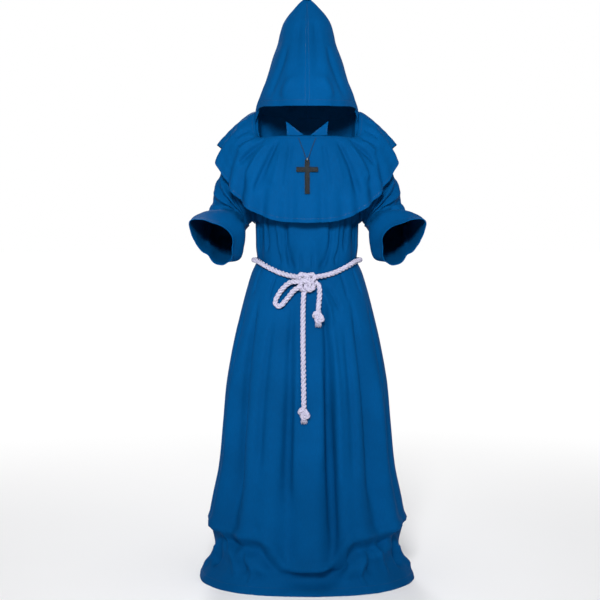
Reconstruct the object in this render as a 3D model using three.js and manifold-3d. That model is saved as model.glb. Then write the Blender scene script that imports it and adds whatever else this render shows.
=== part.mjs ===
// Monk costume: a floor-length robe with wide sleeves, a hooded shoulder cape, a knotted rope belt
// and a cross on a cord. Millimetres, +Z up. The front faces -Y and +X is the viewer's right.
// The origin lies between the shoulders, where the wearer carries the cloth.
import * as THREE from "three";
import { mergeVertices } from "three/addons/utils/BufferGeometryUtils.js";
import Module from "manifold-3d";

const wasm = await Module();
wasm.setup();

// Driving dimensions. Heights are measured from the floor, angles from the front towards +X.
const SHOULDER_HEIGHT = 1450;
const PEAK_HEIGHT = 1840;
const ARMPIT_HEIGHT = 1120;
const CLOTH = 2;
const SEAM = 0.3;
const HALF_SEAM = SEAM / 2;
const ROPE = 16.5;
const CORD = 2.4;
const CROSS = {
  width: 67,
  length: 107,
  bar: 15,
  thickness: 4,
  barBelowTop: 31,
  holeBelowTop: 4.4,
  holeRadius: 2.2,
  tilt: 9.4,
};
const RING = { radius: 5.6, wire: 0.9 };

const ROYAL_BLUE = 0x0b5ca0;
const ROPE_WHITE = 0xd0cae0;
const DARK_METAL = 0x3c4646;
const SILVER = 0xc8ccd0;
const CORD_DARK = 0x16202a;

// The robe's sections below the armpit, from the floor up.
const ROBE = [
  { height: 0, side: 338, front: 249, back: 236 },
  { height: 14, side: 334, front: 246, back: 232 },
  { height: 45, side: 314, front: 236, back: 222 },
  { height: 80, side: 296, front: 227, back: 213 },
  { height: 112, side: 292, front: 225, back: 209 },
  { height: 150, side: 302, front: 230, back: 212 },
  { height: 190, side: 310, front: 231, back: 214 },
  { height: 240, side: 303, front: 225, back: 210 },
  { height: 348, side: 282, front: 213, back: 199 },
  { height: 495, side: 268, front: 196, back: 184 },
  { height: 616, side: 257, front: 181, back: 170 },
  { height: 741, side: 235, front: 164, back: 155 },
  { height: 839, side: 212, front: 150, back: 143 },
  { height: 916, side: 191, front: 138, back: 130 },
  { height: 970, side: 175, front: 128, back: 120 },
  { height: 1006, side: 165, front: 122, back: 113 },
  { height: 1060, side: 163, front: 127, back: 114 },
  { height: 1120, side: 164, front: 133, back: 117 },
];
const ROBE_SQUARENESS = 0.88;

// Where the skirt breaks over the hem that lies on the floor, by angle.
const BREAK = [
  { angle: 0, height: 78 },
  { angle: 28, height: 88 },
  { angle: 50, height: 150 },
  { angle: 72, height: 186 },
  { angle: 100, height: 190 },
  { angle: 140, height: 130 },
  { angle: 180, height: 105 },
];
const BREAK_ROW = 190;
const BREAK_FADE = 420;
// How a hanging fold fades: the part of its length at the top, and the heights round its bottom.
const FOLD_FADE = { top: 0.45, below: 60, above: 90 };

// Folds of the skirt: a ridge has a positive depth, a trough a negative one. Each runs from its top
// height down to its bottom height, and its width is in degrees.
const SKIRT_FOLDS = [
  { angle: -49, width: 6.5, depth: -24, top: 840, bottom: 120 },
  { angle: -37, width: 6, depth: 9, top: 760, bottom: 60 },
  { angle: -22, width: 6, depth: 8, top: 640, bottom: 20 },
  { angle: -9.5, width: 5, depth: -17, top: 720, bottom: 60 },
  { angle: 3, width: 5, depth: 7, top: 700, bottom: 20 },
  { angle: 12.5, width: 4.6, depth: -22, top: 800, bottom: 50 },
  { angle: 20, width: 5, depth: 9, top: 760, bottom: 20 },
  { angle: 31, width: 6, depth: 8, top: 700, bottom: 60 },
  { angle: 45, width: 6.5, depth: -22, top: 860, bottom: 120 },
  { angle: 59, width: 6, depth: 10, top: 780, bottom: 120 },
  { angle: 73, width: 6, depth: -14, top: 700, bottom: 180 },
  { angle: -66, width: 7, depth: 11, top: 800, bottom: 120 },
  { angle: -78, width: 5, depth: -12, top: 720, bottom: 180 },
  { angle: 104, width: 7, depth: -16, top: 800, bottom: 150 },
  { angle: 122, width: 7, depth: -22, top: 880, bottom: 90 },
  { angle: 140, width: 6, depth: 9, top: 760, bottom: 60 },
  { angle: 153, width: 6, depth: -20, top: 820, bottom: 60 },
  { angle: 172, width: 6, depth: -23, top: 900, bottom: 40 },
  { angle: -162, width: 7, depth: 10, top: 700, bottom: 30 },
  { angle: -146, width: 6, depth: -21, top: 860, bottom: 60 },
  { angle: -124, width: 7, depth: -24, top: 900, bottom: 100 },
  { angle: -105, width: 6, depth: -15, top: 760, bottom: 150 },
];
// The hem's own waves on the floor, and the two corners that spread sideways.
const HEM_WAVES = [
  { angle: -93, width: 7, depth: 12, top: 70, bottom: 0 },
  { angle: 86, width: 7, depth: 8, top: 70, bottom: 0 },
  { angle: -62, width: 8, depth: -9, top: 120, bottom: 0 },
  { angle: 58, width: 8, depth: -8, top: 120, bottom: 0 },
  { angle: -34, width: 8, depth: 6, top: 90, bottom: 0 },
  { angle: 33, width: 8, depth: 6, top: 90, bottom: 0 },
  { angle: 125, width: 8, depth: -10, top: 120, bottom: 0 },
  { angle: -130, width: 9, depth: -9, top: 120, bottom: 0 },
  { angle: 180, width: 10, depth: 6, top: 90, bottom: 0 },
];
// Folds of the bodice gather at the belt and open upwards.
const BODICE_FOLDS = [
  { angle: -62, width: 6, depth: -9, top: 1190, bottom: 1012 },
  { angle: -31, width: 6, depth: -8, top: 1130, bottom: 985 },
  { angle: -15, width: 5, depth: -7, top: 1080, bottom: 960 },
  { angle: 14, width: 5, depth: -8, top: 1090, bottom: 960 },
  { angle: 35, width: 6, depth: -8, top: 1140, bottom: 990 },
  { angle: 64, width: 6, depth: -9, top: 1190, bottom: 1012 },
  { angle: 118, width: 7, depth: -9, top: 1200, bottom: 1012 },
  { angle: 150, width: 6, depth: -8, top: 1150, bottom: 1012 },
  { angle: 176, width: 6, depth: -8, top: 1180, bottom: 1012 },
  { angle: -148, width: 6, depth: -9, top: 1150, bottom: 1012 },
  { angle: -116, width: 7, depth: -9, top: 1200, bottom: 1012 },
];

// The belt lies level round the back and dips to the knot in front.
const BELT_HEIGHT = 1006;
const BELT_DIP = 52;
const BELT_FROM_KNOT = 6;
const BELT_CLEAR = 2.1;
const BELT_AHEAD = { most: 15, within: 13 };
const BELT_RING = { side: 165, front: 125, back: 114 };
const WAIST_PINCH = { depth: 6, reach: 26 };
// The heights between which the robe's rows follow the belt.
const WAIST_ROWS = { low: 820, full: 970, leave: 1042 };

// The neck seam joins hood, cape and robe.
const NECK = { side: 165, front: 130, back: 110, squareness: 0.67 };
const NECK_HEIGHTS = [
  { angle: 0, height: 1391 },
  { angle: 30, height: 1390 },
  { angle: 52, height: 1388 },
  { angle: 66, height: 1400 },
  { angle: 78, height: 1436 },
  { angle: 92, height: 1478 },
  { angle: 130, height: 1475 },
  { angle: 180, height: 1470 },
];
const HOOD_EDGE_ANGLE = 75;
const SEAM_STEP = 7.5;

// The armhole, and the shoulder seam from it to the neck.
const ARMHOLE = { bulge: 64, lean: 24, lowness: 0.66, spread: 6 };
const SHOULDER_POINT = 1438;
const SHOULDER_ANGLE = 67.5;
const YOKE_ROUNDING = 0.9;
// The robe's neckline lies inside the seam: its inset and its drop below, by angle.
const NECKLINE = [
  { angle: 0, inset: 3, drop: 2 },
  { angle: 45, inset: 3.6, drop: 3 },
  { angle: 70, inset: 7.5, drop: 12 },
  { angle: 90, inset: 6.6, drop: 8.6 },
  { angle: 125, inset: 3.3, drop: 2.5 },
  { angle: 180, inset: 2.9, drop: 1.8 },
];

// The cape's hem: one height for each angle, with the tips and notches of its outline at the sides.
const CAPE_HEM = { side: 280, front: 184, back: 178, squareness: 0.8 };
const CAPE_HEIGHTS = [
  { angle: 0, height: 1120 },
  { angle: 15, height: 1127 },
  { angle: 30, height: 1152 },
  { angle: 45, height: 1188 },
  { angle: 60, height: 1236 },
  { angle: 70, height: 1272 },
  { angle: 78, height: 1311 },
  { angle: 87, height: 1352 },
  { angle: 96, height: 1375 },
  { angle: 110, height: 1340 },
  { angle: 130, height: 1268 },
  { angle: 155, height: 1208 },
  { angle: 180, height: 1190 },
];
const CAPE_BULGE = [
  { angle: 0, bulge: 10 },
  { angle: 40, bulge: 20 },
  { angle: 58, bulge: 31 },
  { angle: 76, bulge: 30 },
  { angle: 90, bulge: 12 },
  { angle: 106, bulge: 17 },
  { angle: 135, bulge: 26 },
  { angle: 180, bulge: 14 },
];
// How early on the way to the hem the bulge is widest: below 1 is nearer the seam.
const CAPE_BULGE_EARLY = 0.66;
// Folds of the cape spread from the seam to the hem: each starts at a part of the way down.
const CAPE_FOLDS = [
  { angle: 0, width: 3.6, depth: 4, start: 0 },
  { angle: -6.4, width: 2.4, depth: -9, start: 0.05 },
  { angle: 6.4, width: 2.4, depth: -9, start: 0.05 },
  { angle: -15, width: 4, depth: -9, start: 0.4 },
  { angle: 19, width: 4, depth: -10, start: 0.35 },
  { angle: -26, width: 4.5, depth: -16, start: 0.1 },
  { angle: 31, width: 5, depth: -13, start: 0.15 },
  { angle: -36, width: 5, depth: 7, start: 0.2 },
  { angle: -46, width: 5, depth: -20, start: 0.05 },
  { angle: 45, width: 5, depth: -17, start: 0.1 },
  { angle: 59, width: 4.5, depth: -15, start: 0.05 },
  { angle: -63, width: 4.5, depth: -13, start: 0.1 },
  { angle: -78, width: 4.5, depth: 15, start: 0.1 },
  { angle: 78, width: 4.5, depth: 15, start: 0.1 },
  { angle: -87, width: 4, depth: -15, start: 0.2 },
  { angle: 87, width: 4, depth: -15, start: 0.2 },
  { angle: -97, width: 5, depth: 11, start: 0.2 },
  { angle: 97, width: 5, depth: 11, start: 0.2 },
  { angle: -110, width: 5, depth: -15, start: 0.2 },
  { angle: 112, width: 5, depth: -15, start: 0.2 },
  { angle: -124, width: 5, depth: 10, start: 0.3 },
  { angle: 127, width: 5, depth: 9, start: 0.3 },
  { angle: -138, width: 5, depth: -17, start: 0.15 },
  { angle: 140, width: 5, depth: -15, start: 0.15 },
  { angle: -156, width: 5, depth: -13, start: 0.25 },
  { angle: 158, width: 5, depth: -15, start: 0.2 },
  { angle: 176, width: 5, depth: -12, start: 0.3 },
];

// The hood's sections from the brim up to the peak.
const HOOD = [
  { height: 1380, side: 166, front: 176, back: 112 },
  { height: 1440, side: 158, front: 206, back: 113 },
  { height: 1474, side: 149, front: 215, back: 116 },
  { height: 1500, side: 146, front: 213, back: 119 },
  { height: 1545, side: 139, front: 203, back: 122 },
  { height: 1591, side: 126, front: 184, back: 121 },
  { height: 1643, side: 110, front: 156, back: 118 },
  { height: 1691, side: 93, front: 124, back: 110 },
  { height: 1727, side: 85, front: 100, back: 100 },
  { height: 1757, side: 76, front: 78, back: 90 },
  { height: 1783, side: 60, front: 52, back: 72 },
  { height: 1806, side: 41, front: 28, back: 56 },
  { height: 1824, side: 25, front: 8, back: 42 },
  { height: 1835, side: 12, front: -6, back: 31 },
  { height: 1840, side: 0, front: -18, back: 18 },
];
const HOOD_SQUARENESS = 0.86;
// The folds fade from this part down: to nothing at the seam, and to a share at the brim.
const HOOD_FOLD_FADE = { from: 0.86, seam: 1, brim: 0.4 };
// The sides are drawn in to the neck seam from this part and angle on.
const HOOD_DRAW = { from: 0.72, angle: 62 };
// The lower edge of the hood: the brim in front, the neck seam from the side round the back.
const BRIM_HEIGHTS = [
  { angle: 0, height: 1473 },
  { angle: 40, height: 1477 },
  { angle: 56, height: 1481 },
  { angle: 66, height: 1482 },
  { angle: 71, height: 1474 },
  { angle: 75, height: 1440 },
];
const HOOD_FOLDS = [
  { angle: 0, width: 5, depth: 5, start: 0.15 },
  { angle: -34, width: 9, depth: -7, start: 0.35 },
  { angle: 34, width: 9, depth: -7, start: 0.35 },
  { angle: -66, width: 8, depth: 6, start: 0.5 },
  { angle: 66, width: 8, depth: 6, start: 0.5 },
  { angle: -112, width: 9, depth: -9, start: 0.4 },
  { angle: 112, width: 9, depth: -9, start: 0.4 },
  { angle: -146, width: 9, depth: -8, start: 0.5 },
  { angle: 146, width: 9, depth: -8, start: 0.5 },
];

// Sleeve sections from the armhole to the cuff. The roll turns a section's outer side from up
// to sideways, and the pitch turns its front side from forward to up, both in degrees.
const SLEEVE = [
  { part: 0.14, side: 205, forward: -2, height: 1263, roll: 12, pitch: 0, across: 138, front: 78, back: 80 },
  { part: 0.3, side: 226, forward: -2, height: 1218, roll: 22, pitch: 5, across: 110, front: 76, back: 80 },
  { part: 0.44, side: 242, forward: -2, height: 1168, roll: 46, pitch: 15, across: 80, front: 74, back: 80 },
  { part: 0.56, side: 251, forward: 20, height: 1134, roll: 70, pitch: 35, across: 67, front: 72, back: 84 },
  { part: 0.68, side: 255, forward: 75, height: 1110, roll: 88, pitch: 62, across: 62, front: 64, back: 80 },
  { part: 0.8, side: 260, forward: 155, height: 1093, roll: 90, pitch: 78, across: 65, front: 62, back: 78 },
  { part: 0.91, side: 265, forward: 245, height: 1078, roll: 90, pitch: 86, across: 73, front: 68, back: 79 },
  { part: 1, side: 267, forward: 322, height: 1068, roll: 90, pitch: 90, across: 80, front: 74, back: 74 },
];
// The cuff's outline: 0 degrees points outwards and 90 up.
const CUFF = [
  { angle: 0, reach: 66 },
  { angle: 20, reach: 81 },
  { angle: 35, reach: 97 },
  { angle: 52, reach: 90 },
  { angle: 74, reach: 82 },
  { angle: 101, reach: 77 },
  { angle: 127, reach: 78 },
  { angle: 154, reach: 78 },
  { angle: 180, reach: 77 },
  { angle: 206, reach: 82 },
  { angle: 226, reach: 90 },
  { angle: 245, reach: 82 },
  { angle: 270, reach: 71 },
  { angle: 299, reach: 56 },
  { angle: 335, reach: 57 },
  { angle: 360, reach: 66 },
];
// How far the cloth turns in from that outline to the mouth, above and beside the body.
const MOUTH = [
  { angle: 0, inset: 0 },
  { angle: 35, inset: 0 },
  { angle: 52, inset: 12 },
  { angle: 74, inset: 28 },
  { angle: 101, inset: 32 },
  { angle: 127, inset: 34 },
  { angle: 154, inset: 32 },
  { angle: 180, inset: 28 },
  { angle: 206, inset: 30 },
  { angle: 226, inset: 27 },
  { angle: 242, inset: 12 },
  { angle: 258, inset: 0 },
  { angle: 360, inset: 0 },
];
const MOUTH_FROM = 0.88;
const SLEEVE_EASE = 0.2;
// The round sections turn into the cuff's outline between these parts.
const CUFF_BLEND = { from: 0.66, to: 0.94 };
const SLEEVE_FOLD_FADE = 0.12;
// How deep an elbow crease is across the sleeve: its middle depth and its gain on the outer side.
const CREASE_DEPTH = { middle: 0.55, outer: 0.45 };
const SLEEVE_FOLDS = [
  { angle: 62, width: 13, depth: -7, start: 0.42, end: 0.9 },
  { angle: 100, width: 14, depth: -9, start: 0.4, end: 0.84 },
  { angle: 140, width: 13, depth: -7, start: 0.44, end: 0.95 },
  { angle: 232, width: 15, depth: 6, start: 0.5, end: 1.1 },
  { angle: 300, width: 14, depth: -6, start: 0.6, end: 1.1 },
];
// The crease rings across the sleeve above the elbow, seen as a notch in its outline.
const ELBOW_CREASES = [
  { part: 0.36, reach: 0.035, depth: -6 },
  { part: 0.49, reach: 0.03, depth: -9 },
  { part: 0.62, reach: 0.035, depth: -5 },
];

// The turned-out corners of the neck slit: three corners of the one at the viewer's right.
const FLAP = {
  inner: { side: 10, forward: 130.2, height: 1391.7 },
  outer: { side: 62, forward: 127.8, height: 1391.2 },
  tip: { side: 65, forward: 119, height: 1436 },
};
const FLAP_TIP = 0.1;
const FLAP_CURL = 4;

// Routes of the free rope: side, forward and height of points along each.
const LOOP_ROUTE = [
  [-24, 158, 940],
  [-36, 157, 941],
  [-50, 152, 939],
  [-63, 147, 931],
  [-76, 144, 918],
  [-88, 142, 901],
  [-96, 142, 885],
  [-97, 143.5, 873],
  [-90, 146.5, 866],
  [-81, 149.5, 867],
  [-71, 150.5, 877],
  [-60, 151, 890],
  [-50, 153, 903],
  [-40, 155, 914],
  [-30, 157, 921],
  [-22, 158, 926],
];
const LONG_ROUTE = [
  [-10, 160, 909],
  [-11, 160, 898],
  [-12, 160, 884],
  [-12.5, 160, 864],
  [-13, 161, 840],
  [-13, 164, 812],
  [-13, 168.5, 782],
  [-13, 173, 750],
  [-12.5, 177.5, 716],
  [-12, 182, 682],
  [-11.5, 187, 648],
  [-11, 192, 616],
  [-10.5, 198, 585],
  [-10, 206, 556],
];
const SHORT_ROUTE = [
  [24, 156, 938],
  [31, 155, 934],
  [36, 152, 925],
  [38, 150, 912],
  [38, 151, 899],
  [37, 153, 886],
  [35.5, 157, 872],
  [34.5, 162, 858],
  [34, 167, 846],
];
const CORD_ROUTE = [
  [-28, 134.2, 1384.2],
  [-24, 140, 1376],
  [-19.5, 145.5, 1364],
  [-15, 150.5, 1352],
  [-10.5, 155, 1340],
  [-7, 159.5, 1329],
  [-3.6, 163.4, 1319.6],
  [0, 164, 1318],
  [3.6, 163.4, 1319.6],
  [7, 159.5, 1329],
  [10.5, 155, 1340],
  [15, 150.5, 1352],
  [19.5, 145.5, 1364],
  [24, 140, 1376],
  [28, 134.2, 1384.2],
];

// Rings of rope that make the knot, and the turned rings of an end knot.
const KNOT_CENTRE = { side: -1, forward: 149, height: 938 };
const KNOT_TURNS = [
  { side: -9, height: 13, forward: 1, wide: 15, high: 10, tilt: 32, lean: 12 },
  { side: 9, height: 12, forward: 3, wide: 15, high: 10, tilt: -35, lean: -14 },
  { side: -6, height: -10, forward: 5, wide: 14, high: 15, tilt: -8, lean: 20 },
  { side: 10, height: -8, forward: 2, wide: 12, high: 15, tilt: 12, lean: -20 },
];
const END_KNOT_TURNS = [
  { side: -3, height: 3, forward: 0, wide: 9, high: 6, tilt: 24, lean: 20 },
  { side: 3, height: -7, forward: 1, wide: 9, high: 6, tilt: -22, lean: -16 },
];
const END_KNOT_BELOW = 12;
// A frayed end's strands: each stands a turn step further round, and their lengths repeat unevenly.
const TUFT = {
  strands: 12,
  length: 30,
  uneven: [0, 0.12, 0.24, 0.06, 0.18],
  thickness: 3.6,
  spread: 6.5,
  wideness: 1.15,
  flatness: 0.6,
  flare: 0.035,
  turnStep: 137.5,
  root: 2,
};
// Where the cord's lowest point hangs the ring.
const PENDANT = { forward: 164, height: 1318.9 };

// The rows of points down each wall, closer where it bends.
const ROBE_LEVELS = [0, 18, 60, 108, 150, 190, 250, 340, 450, 580, 720, 850, 930, 978, 1006, 1034, 1076];
const YOKE_PARTS = [0, 0.24, 0.5, 0.76, 1];
const SLEEVE_PARTS = [0, 0.07, 0.14, 0.24, 0.34, 0.43, 0.5, 0.58, 0.68, 0.8, 0.89, 0.95, 1];
const HOOD_PARTS = [0, 0.02, 0.07, 0.15, 0.28, 0.42, 0.58, 0.74, 0.88, 1];
const CAPE_PARTS = [0, 0.16, 0.38, 0.6, 0.8, 1];

const clamp = THREE.MathUtils.clamp;
const lerp = THREE.MathUtils.lerp;
const smoothstep = THREE.MathUtils.smoothstep;
const radians = THREE.MathUtils.degToRad;

// A row of a table at any place of its first column, on a smooth curve through the rows.
function rowAt(table, column, place) {
  const last = table.length - 1;
  const at = clamp(place, table[0][column], table[last][column]);
  let index = 0;
  while (index < last - 1 && at > table[index + 1][column]) {
    index += 1;
  }
  const low = table[index];
  const high = table[index + 1];
  const before = table[Math.max(index - 1, 0)];
  const after = table[Math.min(index + 2, last)];
  const span = high[column] - low[column];
  const part = (at - low[column]) / span;
  const row = {};
  for (const name of Object.keys(low)) {
    const lowSlope = (span * (high[name] - before[name])) / (high[column] - before[column]);
    const highSlope = (span * (after[name] - low[name])) / (after[column] - low[column]);
    row[name] =
      low[name] * (1 + 2 * part) * (1 - part) ** 2 +
      lowSlope * part * (1 - part) ** 2 +
      high[name] * part * part * (3 - 2 * part) +
      highSlope * part * part * (part - 1);
  }
  return row;
}

// An angle's size from the front, 0 to 180, on either side.
function fromFront(angle) {
  return Math.abs(THREE.MathUtils.euclideanModulo(angle + 180, 360) - 180);
}

// How far an angle lies from a fold's middle, the short way round, as a soft hump from 1 to 0.
function hump(angle, middle, width) {
  const apart = THREE.MathUtils.euclideanModulo(angle - middle + 180, 360) - 180;
  return Math.exp(-((apart / width) ** 2));
}

// Folds that run down from a top height to a bottom height.
function hangingFolds(folds, angle, height) {
  let offset = 0;
  for (const fold of folds) {
    const full = fold.top - FOLD_FADE.top * (fold.top - fold.bottom);
    const fadeIn = 1 - smoothstep(height, full, fold.top);
    const fadeOut = smoothstep(height, fold.bottom - FOLD_FADE.below, fold.bottom + FOLD_FADE.above);
    offset += fold.depth * hump(angle, fold.angle, fold.width) * fadeIn * fadeOut;
  }
  return offset;
}

// Folds that open from a seam, deeper with each part of the way to the edge.
function openingFolds(folds, angle, part) {
  let offset = 0;
  for (const fold of folds) {
    offset += fold.depth * hump(angle, fold.angle, fold.width) * smoothstep(part, fold.start, 1);
  }
  return offset;
}

// A place on a flattened ring at an angle from the front, moved outwards by an offset.
function onRing(ring, squareness, angle, height, offset = 0) {
  const sine = Math.sin(radians(angle));
  const cosine = Math.cos(radians(angle));
  const depth = cosine > 0 ? ring.front : ring.back;
  const outX = sine / Math.max(ring.side, 1);
  const outY = -cosine / Math.max(Math.abs(depth), 1);
  const outLength = Math.hypot(outX, outY);
  return new THREE.Vector3(
    Math.sign(sine) * ring.side * Math.abs(sine) ** squareness + (offset * outX) / outLength,
    -Math.sign(cosine) * depth * Math.abs(cosine) ** squareness + (offset * outY) / outLength,
    height,
  );
}

function evenly(from, to, count) {
  return Array.from({ length: count + 1 }, (_, index) => lerp(from, to, index / count));
}

// Merges the shared vertices and drops the triangles that a pole collapses.
function closedMesh(geometry) {
  geometry.deleteAttribute("normal");
  geometry.deleteAttribute("uv");
  const merged = mergeVertices(geometry, 1e-3);
  const kept = [];
  for (let corner = 0; corner < merged.index.count; corner += 3) {
    const [a, b, c] = [0, 1, 2].map((step) => merged.index.getX(corner + step));
    if (a !== b && b !== c && c !== a) {
      kept.push(a, b, c);
    }
  }
  merged.setIndex(kept);
  merged.computeVertexNormals();
  return merged;
}

// A cloth wall: the outer points follow the surface, and the inner ones lie one thickness inside.
// Facing is 1 where the surface's two directions turn outwards, and -1 where they turn inwards.
// Trim corrects an inner point, so that a wall ends square to its seam or on the floor.
function clothWall(surface, across, along, options = {}) {
  const { facing = 1, closed = false, tip = false, trim = () => {} } = options;
  const step = 1e-3;
  const acrossStep = step * (across[across.length - 1] - across[0]);
  const alongStep = step * (along[along.length - 1] - along[0]);
  const columns = closed ? across.length - 1 : across.length;
  const outer = [];
  const inner = [];
  along.forEach((v, row) => {
    for (let column = 0; column < columns; column += 1) {
      const u = across[column];
      const point = surface(u, v);
      const uTangent = surface(u + acrossStep, v).sub(surface(u - acrossStep, v));
      const vTangent = surface(u, v + alongStep).sub(surface(u, v - alongStep));
      const normal = uTangent.cross(vTangent).multiplyScalar(facing).normalize();
      if (tip && row === 0) {
        normal.set(0, 0, 1);
      }
      const inside = point.clone().addScaledVector(normal, -CLOTH);
      trim(inside, point, row);
      outer.push(point);
      inner.push(inside);
    }
  });
  const points = [...outer, ...inner];
  const size = outer.length;
  const faces = [];
  const quad = (a, b, c, d) => {
    const turned = facing > 0 ? [a, b, c, a, c, d] : [a, c, b, a, d, c];
    faces.push(...turned);
  };
  const at = (row, column) => row * columns + (column % columns);
  const lastRow = along.length - 1;
  for (let row = 0; row < lastRow; row += 1) {
    for (let column = 0; column < across.length - 1; column += 1) {
      const [a, b] = [at(row, column), at(row, column + 1)];
      const [c, d] = [at(row + 1, column + 1), at(row + 1, column)];
      quad(a, b, c, d);
      quad(a + size, d + size, c + size, b + size);
    }
  }
  for (let column = 0; column < across.length - 1; column += 1) {
    const [a, b] = [at(0, column), at(0, column + 1)];
    quad(b, a, a + size, b + size);
    const [c, d] = [at(lastRow, column), at(lastRow, column + 1)];
    quad(c, d, d + size, c + size);
  }
  for (let row = 0; row < lastRow && !closed; row += 1) {
    const [a, d] = [at(row, 0), at(row + 1, 0)];
    quad(a, d, d + size, a + size);
    const [b, c] = [at(row, columns - 1), at(row + 1, columns - 1)];
    quad(c, b, b + size, c + size);
  }
  const geometry = new THREE.BufferGeometry();
  geometry.setAttribute("position", new THREE.Float32BufferAttribute(points.flatMap((p) => p.toArray()), 3));
  geometry.setIndex(faces);
  return closedMesh(geometry);
}

// Where the walls stop: at a seam in the plane between front and back, at the centre seam, at the
// floor, and at the armhole.
function trimPanel(face) {
  return (inside) => {
    inside.y = face > 0 ? Math.min(inside.y, -HALF_SEAM) : Math.max(inside.y, HALF_SEAM);
    inside.z = Math.max(inside.z, 0);
  };
}

function trimHalf(side) {
  return (inside) => {
    inside.x = side > 0 ? Math.max(inside.x, HALF_SEAM) : Math.min(inside.x, -HALF_SEAM);
  };
}

function trimArmhole(inside, point, row) {
  if (row === 0) {
    inside.x = point.x;
  }
}

function manifoldOf(geometry) {
  const mesh = closedMesh(geometry.clone());
  return new wasm.Manifold(
    new wasm.Mesh({
      numProp: 3,
      vertProperties: mesh.attributes.position.array,
      triVerts: new Uint32Array(mesh.index.array),
    }),
  );
}

function geometryOf(solid) {
  const mesh = solid.getMesh();
  const geometry = new THREE.BufferGeometry();
  geometry.setAttribute("position", new THREE.BufferAttribute(mesh.vertProperties, 3));
  geometry.setIndex(new THREE.BufferAttribute(mesh.triVerts, 1));
  geometry.computeVertexNormals();
  return geometry;
}

// The outer skin of a solid, without crumbs or the pockets closed inside it.
function largestBody(solid) {
  const bodies = solid.decompose();
  return geometryOf(bodies.reduce((largest, body) => (body.volume() > largest.volume() ? body : largest)));
}

// One body from several that overlap.
function joined(geometries) {
  const [first, ...others] = geometries.map(manifoldOf);
  return largestBody(others.reduce((whole, piece) => whole.add(piece), first));
}

function roundSection(diameter, sides) {
  const radius = diameter / 2;
  const corners = evenly(0, 2 * Math.PI, sides).slice(0, sides);
  return new THREE.Shape(
    corners.map((turn) => new THREE.Vector2(Math.cos(turn) * radius, Math.sin(turn) * radius)),
  );
}

function tubeAlong(points, diameter, sides, steps) {
  const path = new THREE.CatmullRomCurve3(points, false, "centripetal");
  const settings = { steps, extrudePath: path, bevelEnabled: false };
  return closedMesh(new THREE.ExtrudeGeometry(roundSection(diameter, sides), settings));
}

function routePoints(route) {
  return route.map(([side, forward, height]) => new THREE.Vector3(side, -forward, height));
}

// The height of the belt's middle at an angle.
function beltHeight(angle) {
  const forward = Math.max(Math.cos(radians(angle)), 0);
  return BELT_HEIGHT - BELT_DIP * forward ** 3;
}

// A level row of the robe's panels at an angle: near the waist the rows follow the belt.
function rowHeight(angle, level) {
  const rising = smoothstep(level, WAIST_ROWS.low, WAIST_ROWS.full);
  const near = rising * (1 - smoothstep(level, WAIST_ROWS.leave, ARMPIT_HEIGHT));
  return level + (beltHeight(angle) - BELT_HEIGHT) * near;
}

// The robe below the armpit.
function robeTube(angle, height) {
  const breakHeight = rowAt(BREAK, "angle", fromFront(angle)).height;
  const drop = BREAK_ROW - breakHeight;
  const near = height < breakHeight ? height / breakHeight : 1 - smoothstep(height, breakHeight, BREAK_FADE);
  const ring = rowAt(ROBE, "height", height + drop * near);
  const pinch = WAIST_PINCH.depth * Math.exp(-(((height - beltHeight(angle)) / WAIST_PINCH.reach) ** 2));
  const folds =
    hangingFolds(SKIRT_FOLDS, angle, height) +
    hangingFolds(HEM_WAVES, angle, height) +
    hangingFolds(BODICE_FOLDS, angle, height);
  return onRing(ring, ROBE_SQUARENESS, angle, height, folds - pinch);
}

// The seam where hood, cape and robe meet, at an angle, inset towards the neck. It runs straight
// between its stations, so that pieces with more points along it still lie on the same line.
function neckSeam(angle, inset = 0) {
  const before = Math.floor(angle / SEAM_STEP) * SEAM_STEP;
  const [from, to] = [before, before + SEAM_STEP].map((station) => {
    const height = rowAt(NECK_HEIGHTS, "angle", fromFront(station)).height;
    return onRing(NECK, NECK.squareness, station, height, -inset);
  });
  return from.lerp(to, (angle - before) / SEAM_STEP);
}

// The robe above the armpit: part 0 is at the armpit, part 1 at the shoulder seam and the neckline.
// Face is 1 on the front panel and -1 on the back one.
function robeYoke(face, angle, part) {
  if (Math.abs(angle) > 90) {
    const edge = 90 * Math.sign(angle);
    return robeYoke(face, edge, part)
      .multiplyScalar(2)
      .sub(robeYoke(face, 2 * edge - angle, part));
  }
  const low = robeTube(face > 0 ? angle : 180 - angle, ARMPIT_HEIGHT);
  const turn = angle / SHOULDER_ANGLE;
  const neckAngle = Math.abs(turn) < 1 ? 90 * turn : 90 * Math.sign(turn);
  const neckline = rowAt(NECKLINE, "angle", fromFront(face > 0 ? neckAngle : 180 - neckAngle));
  const top = neckSeam(face > 0 ? neckAngle : 180 - neckAngle, neckline.inset);
  top.z -= neckline.drop;
  if (Math.abs(turn) > 1) {
    const beyond = (Math.abs(angle) - SHOULDER_ANGLE) / (90 - SHOULDER_ANGLE);
    const point = new THREE.Vector3(low.x + Math.sign(angle) * ARMHOLE.lean, 0, SHOULDER_POINT);
    top.lerp(point, beyond);
  }
  const rise = radians(90 * clamp(part, 0, 1));
  const sideways = Math.abs(Math.sin(radians(angle))) ** ARMHOLE.spread;
  const bulge = ARMHOLE.bulge * sideways * Math.sin(Math.PI * clamp(part, 0, 1) ** ARMHOLE.lowness);
  return new THREE.Vector3(
    lerp(low.x, top.x, part),
    lerp(top.y, low.y, Math.cos(rise) ** YOKE_ROUNDING) - face * bulge,
    lerp(low.z, top.z, Math.sin(rise)),
  );
}

function robeRow(angle, level) {
  return robeTube(angle, rowHeight(angle, level));
}

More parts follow.
